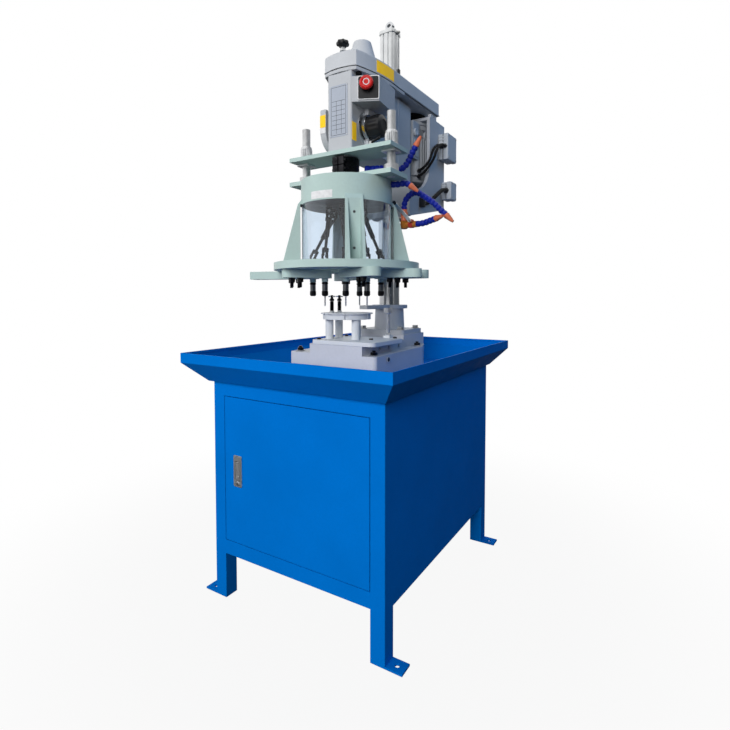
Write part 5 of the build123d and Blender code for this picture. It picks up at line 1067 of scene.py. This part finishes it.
def guide_bushes():
    """Square-flanged bushes with fluted collars above the guide plate."""
    plate_top = box_of("guide_plate").high.z
    ribs, bore, flange_h = lobes(22, 0.10), 12.7, 6.0
    bushes = Piece("fluted_bushes")
    for box in islands("guide_bushes"):
        place, half = box.upright(plate_top), box.half.x
        low, high = box.low.z - plate_top, box.high.z - plate_top
        seat = low + flange_h
        bushes.add(extruded(rounded(half, half, 4.0), low, seat, 0.8), SATIN, place)
        collar = ((bore, seat), (17, seat), (17, 1), (18.6, 1.2), (18.6, 6), (18.2, 7, ribs),
                  (18.2, high - 9, ribs), (17.4, high - 8), (16.6, high - 1), (15.8, high), (bore, high))
        bushes.add(turned(collar, 88, closed=True), SATIN, place)
    bushes.done("stand", "bush_steel", "guide_bushes")


# Multi-spindle head

def clamp_coupling():
    """A split clamp ring with lugs and their screws."""
    box, quill = box_of("clamp_coupling"), box_of("quill")
    low, tall, r, bore = box.low, 2.0 * box.half.z, box.half.x, quill.half.x + 0.1
    lug, split, lug_gap, lug_h = 20.0, 1.5, 25.4, 24.0
    coupling = Piece("quill_clamp", at(0, 0, low.z))
    collar = ((bore, 0), (r - 2, 0), (r, 2), (r, 21), (r - 1.2, 22.2), (r - 1.2, 24.2), (r, lug_gap),
              (r, tall - 2), (r - 2, tall), (bore, tall))
    coupling.add(turned(collar, 64, closed=True), BLACK_STEEL, quill.upright())
    for side in SIDES:
        near, far = sorted((side * split, side * lug))
        for z in (0.0, lug_gap):
            coupling.add(block((near, low.y, z), (far, low.y + 20, z + lug_h), 1.6), BLACK_STEEL)
    for z in (12.5, 37.5):
        coupling.add(socket_head(6.0, 6.0), BLACK_STEEL, facing((lug - 1.0, low.y + 8.0, z), X_AXIS))
        coupling.add(hex_head(5.5, 4.0), BLACK_STEEL, facing((1.0 - lug, low.y + 8.0, z), -X_AXIS))
        coupling.add(socket_head(4.5, 2.5), BLACK_STEEL, facing((-10.0, low.y + 0.2, z), -Y_AXIS))
    coupling.done("multi_head", "black_oxide", "clamp_coupling")


def flute(turn):
    """The outline of a twist drill whose two flutes are turned by an angle."""
    return lambda angle: 1.0 - 0.42 * (0.5 + 0.5 * math.cos(2.0 * (angle - turn))) ** 1.5


def drill_bit(radius, top, tip):
    """A twist drill, hanging from top to tip."""
    steps, turns, shank_h = 26, 2.2, 8.0
    profile = [(0, top), (radius, top), (radius, top - 6.0)]
    flute_top, flute_end = top - shank_h, tip + radius * 0.8
    for k in range(steps + 1):
        share = k / steps
        height = flute_top + (flute_end - flute_top) * share
        profile.append((radius, height, flute(turns * FULL_TURN * share)))
    profile.append((0, tip))
    return turned(profile, 24)


NUT_TOP_Z = 884.0
NUT_H = 15.0
FORK_TOP = 4.0


def spindle(index):
    """A collet chuck under its arm, with the lower fork of its joint on top."""
    name = f"spindle_{index}"
    box = box_of(name)
    joint = box.high.z - FORK_TOP - NUT_TOP_Z
    grip, hub_low = lobes(18, 0.06), joint - 21
    fork = at(0, 0, joint)
    chuck = Piece(f"chuck_{index}", box.upright(NUT_TOP_Z))
    body = solid(40, (8.0, -2), (8.5, 1), (8.5, 17), (7.9, 18), (7.9, 20), (8.5, 21), (8.5, 26), (6, 27),
                 (6, hub_low))
    chuck.add(body, CHUCK_STEEL)
    chuck.add(ring(8.4, 9.3, 19.5, 25.5, 0.8, 40), BLACK_STEEL)
    nut = solid(72, (3.2, 2.0), (3.2, 0), (6.6, 0), (8.4, 2.4), (9.5, 3.6, grip), (9.5, NUT_H - 1.4, grip),
                (8.7, NUT_H))
    chuck.add(nut, BLACK_STEEL, at(0, 0, -NUT_H))
    chuck.add(solid(36, (8, -21), (10, -19), (10, -12)), BLACK_STEEL, fork)
    for side in SIDES:
        near, far = sorted((side * 7.0, side * 10.0))
        chuck.add(block((near, -4, -13), (far, 4, FORK_TOP), 0.8), BLACK_STEEL, fork)
    if box.low.z < NUT_TOP_Z - NUT_H - 1.0:
        chuck.add(drill_bit(2.5, 2.5 - NUT_H, box.low.z - NUT_TOP_Z), STEEL)
    chuck.done(name, "black_oxide", name)


def arm_bolts():
    """Studs with nuts and washers that hold the spindle arms to the ring."""
    seat_up, washer_h, nut_h, stud_r = 27.0, 2.0, 10.0, 5.0
    nuts = Piece("arm_nut_set")
    for box in islands("arm_bolts"):
        seat, top = box.upright(box.low.z + seat_up), 2.0 * box.half.z - seat_up
        turn = Matrix.Rotation(0.05 * box.low.x, 4, "Z")
        nuts.add(ring(5.2, 10.0, -washer_h, 0.0, 0.4, 32), BLACK_STEEL, seat)
        nuts.add(hex_head(9.0, nut_h), BLACK_STEEL, seat @ at(0, 0, -washer_h - nut_h) @ turn)
        nuts.add(threaded(stud_r, -seat_up, 1.0 - washer_h - nut_h, 1.5), BLACK_STEEL, seat)
        nuts.add(solid(24, (stud_r, 0), (stud_r, top), (4.2, top + 0.6)), BLACK_STEEL, seat)
    nuts.done("multi_head", "zinc_steel", "arm_bolts")


VALVE_AT = Vector((131.0, 20.0, 0.0))
VALVE_LOW_Z, BRANCH_Z, VALVE_ARM_Z = 1075.0, 1087.0, 1105.0
LEVER_PIVOT = Vector((160.0, 0.0, 1096.0))
ELBOW_AT, ELBOW_OUTLET_UP = Vector((48.0, -58.0, 1219.0)), 30.0
LEG_REACH_R = 146.2
STUB_ANGLE, STUB_START_R, STUB_Z = 20.0, 135.0, 1196.0


def coolant_fittings():
    """Hose valve on its arm, elbow on the top plate and stub on the drum."""
    valve = Piece("hose_valve")
    foot = at(VALVE_AT.x, VALVE_AT.y, VALVE_LOW_Z)
    body = solid(48, (9, 0), (12.6, 2, hexagon), (13, 22, hexagon), (10.5, 23.5))
    valve.add(body, VALVE_BRASS, foot)
    outlet = solid(48, (10.5, 23), (12.8, 25), (12.8, 36), (10.0, 38), (10.0, 41), (12.6, 42, hexagon),
                   (12.6, 51, hexagon), (9.8, 52.5), (9.8, 59))
    valve.add(outlet, ORANGE, foot)
    branch = facing(VALVE_AT + Z_AXIS * BRANCH_Z, X_AXIS)
    valve.add(rod(9.6, 0, 43, 48), VALVE_BRASS, branch)
    collar = ((9.5, 18), (11.6, 18, hexagon), (12, 30, hexagon), (11, 32), (9.5, 32))
    valve.add(turned(collar, 48, closed=True), VALVE_RED, branch)
    valve.add(rod(5.8, 0, 18, 32), ORANGE, facing((LEVER_PIVOT.x, VALVE_AT.y, LEVER_PIVOT.z), -Y_AXIS))
    reach = VALVE_AT - HEAD_AXIS
    out = reach.normalized()
    arm = facing(HEAD_AXIS + out * LEG_REACH_R + Z_AXIS * VALVE_ARM_Z, out)
    valve.add(rod(7, 0, reach.length - LEG_REACH_R, 32), ZINC, arm)
    elbow = solid(48, (10, 0, hexagon), (10, 8, hexagon), (8, 9), (8, 18), (10, 20), (10, 37), (8, 40))
    valve.add(elbow, HOSE_BLUE, at(*ELBOW_AT))
    outlet = solid(40, (9, 0), (9.5, 3), (9.5, 14.5))
    valve.add(outlet, HOSE_BLUE, facing(ELBOW_AT + Z_AXIS * ELBOW_OUTLET_UP, X_AXIS))
    out = level(STUB_ANGLE)
    stub = solid(48, (9.6, 0, hexagon), (9.6, 5, hexagon), (9, 6), (9, 12.5))
    valve.add(stub, HOSE_BLUE, facing(HEAD_AXIS + out * STUB_START_R + Z_AXIS * STUB_Z, out))
    valve.done("multi_head", "valve_orange", "coolant_fittings")


def valve_lever():
    """A flat lever with a black grip."""
    box, half_w = box_of("valve_lever"), 5.0
    along = Vector((box.low.x + half_w, LEVER_PIVOT.y, box.high.z - half_w)) - LEVER_PIVOT
    middle = along.length / 2.0
    lever = Piece("valve_handle", facing(LEVER_PIVOT, -Y_AXIS, along))
    lever.add(extruded(rounded(half_w, middle + half_w, 4.9, (0, middle)), -1.5, 1.5, 0.6), SATIN)
    lever.add(extruded(rounded(5.4, 7.0, 4.0, (0, along.length - 2.6)), -2.0, 2.0, 0.6), BLACK_PLASTIC)
    lever.add(hex_head(4.0, 3.0), ZINC, at(0, 0, 1.5))
    lever.done("valve_lever", "zinc_steel", "valve_lever")


# Plain plates and small fittings

FILM_IN, FILM_OUT = 0.2, 0.7


def arc_band(radius, low_angle, high_angle, low, high, steps=24):
    """A thin plate on a round wall, between two angles in degrees."""
    share = (high_angle - low_angle) / steps
    turns = [level(low_angle + share * k) for k in range(steps + 1)]
    inner = [tuple(turn.xy * (radius - FILM_IN)) for turn in turns]
    outer = [tuple(turn.xy * (radius + FILM_OUT)) for turn in turns]
    return extruded(inner + outer[::-1], low, high)


def data_plate():
    """A blank silver plate with ruled lines and four rivets on the casing's front."""
    middle_x, middle_z, half_x, half_z, casing_proud = -3.0, 1408.0, 32.0, 74.0, 9.0
    margin, head_h, row_h, line, line_low, line_high = 9.0, 46.0, 13.5, 0.9, 0.7, 0.95
    face_y = box_of("side_cover").low.y - casing_proud
    plate = Piece("data_plate", facing((middle_x, face_y, middle_z), -Y_AXIS))
    plate.add(extruded(rounded(half_x, half_z, 3.0), -0.2, 0.8, 0.25), PLATE_SILVER)
    for row in range(7):
        up = half_z - head_h - row * row_h
        rule = block((margin - half_x, up, line_low), (half_x - margin, up + line, line_high))
        plate.add(rule, BLACK_PLASTIC)
    for x in (-0.25 * half_x, 0.3 * half_x):
        rule = block((x, margin - half_z, line_low), (x + line, half_z - head_h, line_high))
        plate.add(rule, BLACK_PLASTIC)
    border = rounded(half_x - 6.0, half_z - 5.0, 2.0), rounded(half_x - 7.0, half_z - 6.0, 1.6)
    plate.add(framed(*border, line_low, line_high), BLACK_PLASTIC)
    for x, z in CORNERS:
        rivet = turned(((0, 0.5), (2.0, 0.5), (1.7, 1.3), (0.9, 1.8), (0, 1.9)), 20)
        plate.add(rivet, SATIN, at(x * (half_x - 3.2), z * (half_z - 3.2), 0))
    plate.done("stand", "dial_chrome")


def blank_plates():
    """Blank yellow and white plates on the casing, the side cover and the lid's bowed side."""
    casing_x, cover_y, left, right = 42.0, box_of("side_cover").low.y, -77.0, -57.0
    bow_middle, bow_r = at(-383.95, 39.83, 0), 471.38
    plates = Piece("blank_plates")
    plates.add(block((casing_x - 0.2, -134, 1320), (casing_x + 0.8, -112, 1372), 0.2), LABEL_YELLOW)
    plates.add(block((left, cover_y - 0.8, 1374), (right, cover_y + 0.3, 1410), 0.2), LABEL_YELLOW)
    plates.add(block((left, cover_y - 0.8, 1356), (right, cover_y + 1.4, 1373), 0.2), LABEL_WHITE)
    plates.add(arc_band(bow_r, -11.6, -0.83, 1533, 1567), LABEL_YELLOW, bow_middle)
    plates.done("stand", "box_grey")


def drum_plate():
    """A blank white plate on the gear drum."""
    drum_r = 135.5
    plate = Piece("drum_plate", box_of("gear_housing").upright())
    plate.add(arc_band(drum_r, 257.2, 287.2, 1139.0, 1160.0), LABEL_WHITE)
    plate.done("multi_head", "box_grey")


def pan_pads():
    """Rubber pads under the belt pan."""
    pad_x, pad_y, pan_z = 50.0, -111.0, 1516.0
    pads = Piece("pan_pads")
    for side in reversed(SIDES):
        pads.add(solid(32, (9, 0.2), (9, -6), (7.5, -8)), RUBBER, at(side * pad_x, pad_y, pan_z))
    pads.done("stand", "belt_rubber")


def plate_lever():
    """A clamp lever on the guide plate."""
    lever_x, lever_y, arm_up, arm_out = 104.0, -132.0, 8.0, (1.0, -0.25, 0.22)
    lever = Piece("plate_lever", at(lever_x, lever_y, box_of("guide_plate").high.z))
    lever.add(solid(32, (7, 0), (7, 3), (5, 4), (5, 12)), STEEL)
    arm = solid(24, (3.2, 0), (3.2, 26), (4.4, 28), (4.4, 34), (3.0, 35.5))
    lever.add(arm, BLACK_STEEL, facing((0, 0, arm_up), arm_out))
    lever.done("stand", "black_oxide")


def base_plug():
    """A plug in the base's side."""
    plug_y, plug_z = -113.0, 688.0
    plug = Piece("base_plug", facing((box_of("base_casting").high.x, plug_y, plug_z), X_AXIS))
    plug.add(ring(7.0, 9.0, -0.5, 0.8, 0.3, 32), BASE_GREY)
    plug.add(socket_head(7.0, 0.6), BLACK_STEEL)
    plug.done("stand", "base_paint")


for hose_facts in HOSES:
    coolant_hose(*hose_facts)
for cable_facts in CABLES:
    motor_cable(*cable_facts)
door_lock()
base_bolts()
leg_screws()
fixture_base()
work_pins()
stop_button()
feed_dial()
cover_knob()
lid_lip()
feed_cylinder()
motor()
terminal_boxes()
guide_bushes()
clamp_coupling()
for number in SPINDLES:
    spindle(number)
arm_bolts()
coolant_fittings()
valve_lever()
data_plate()
blank_plates()
drum_plate()
pan_pads()
plate_lever()
base_plug()
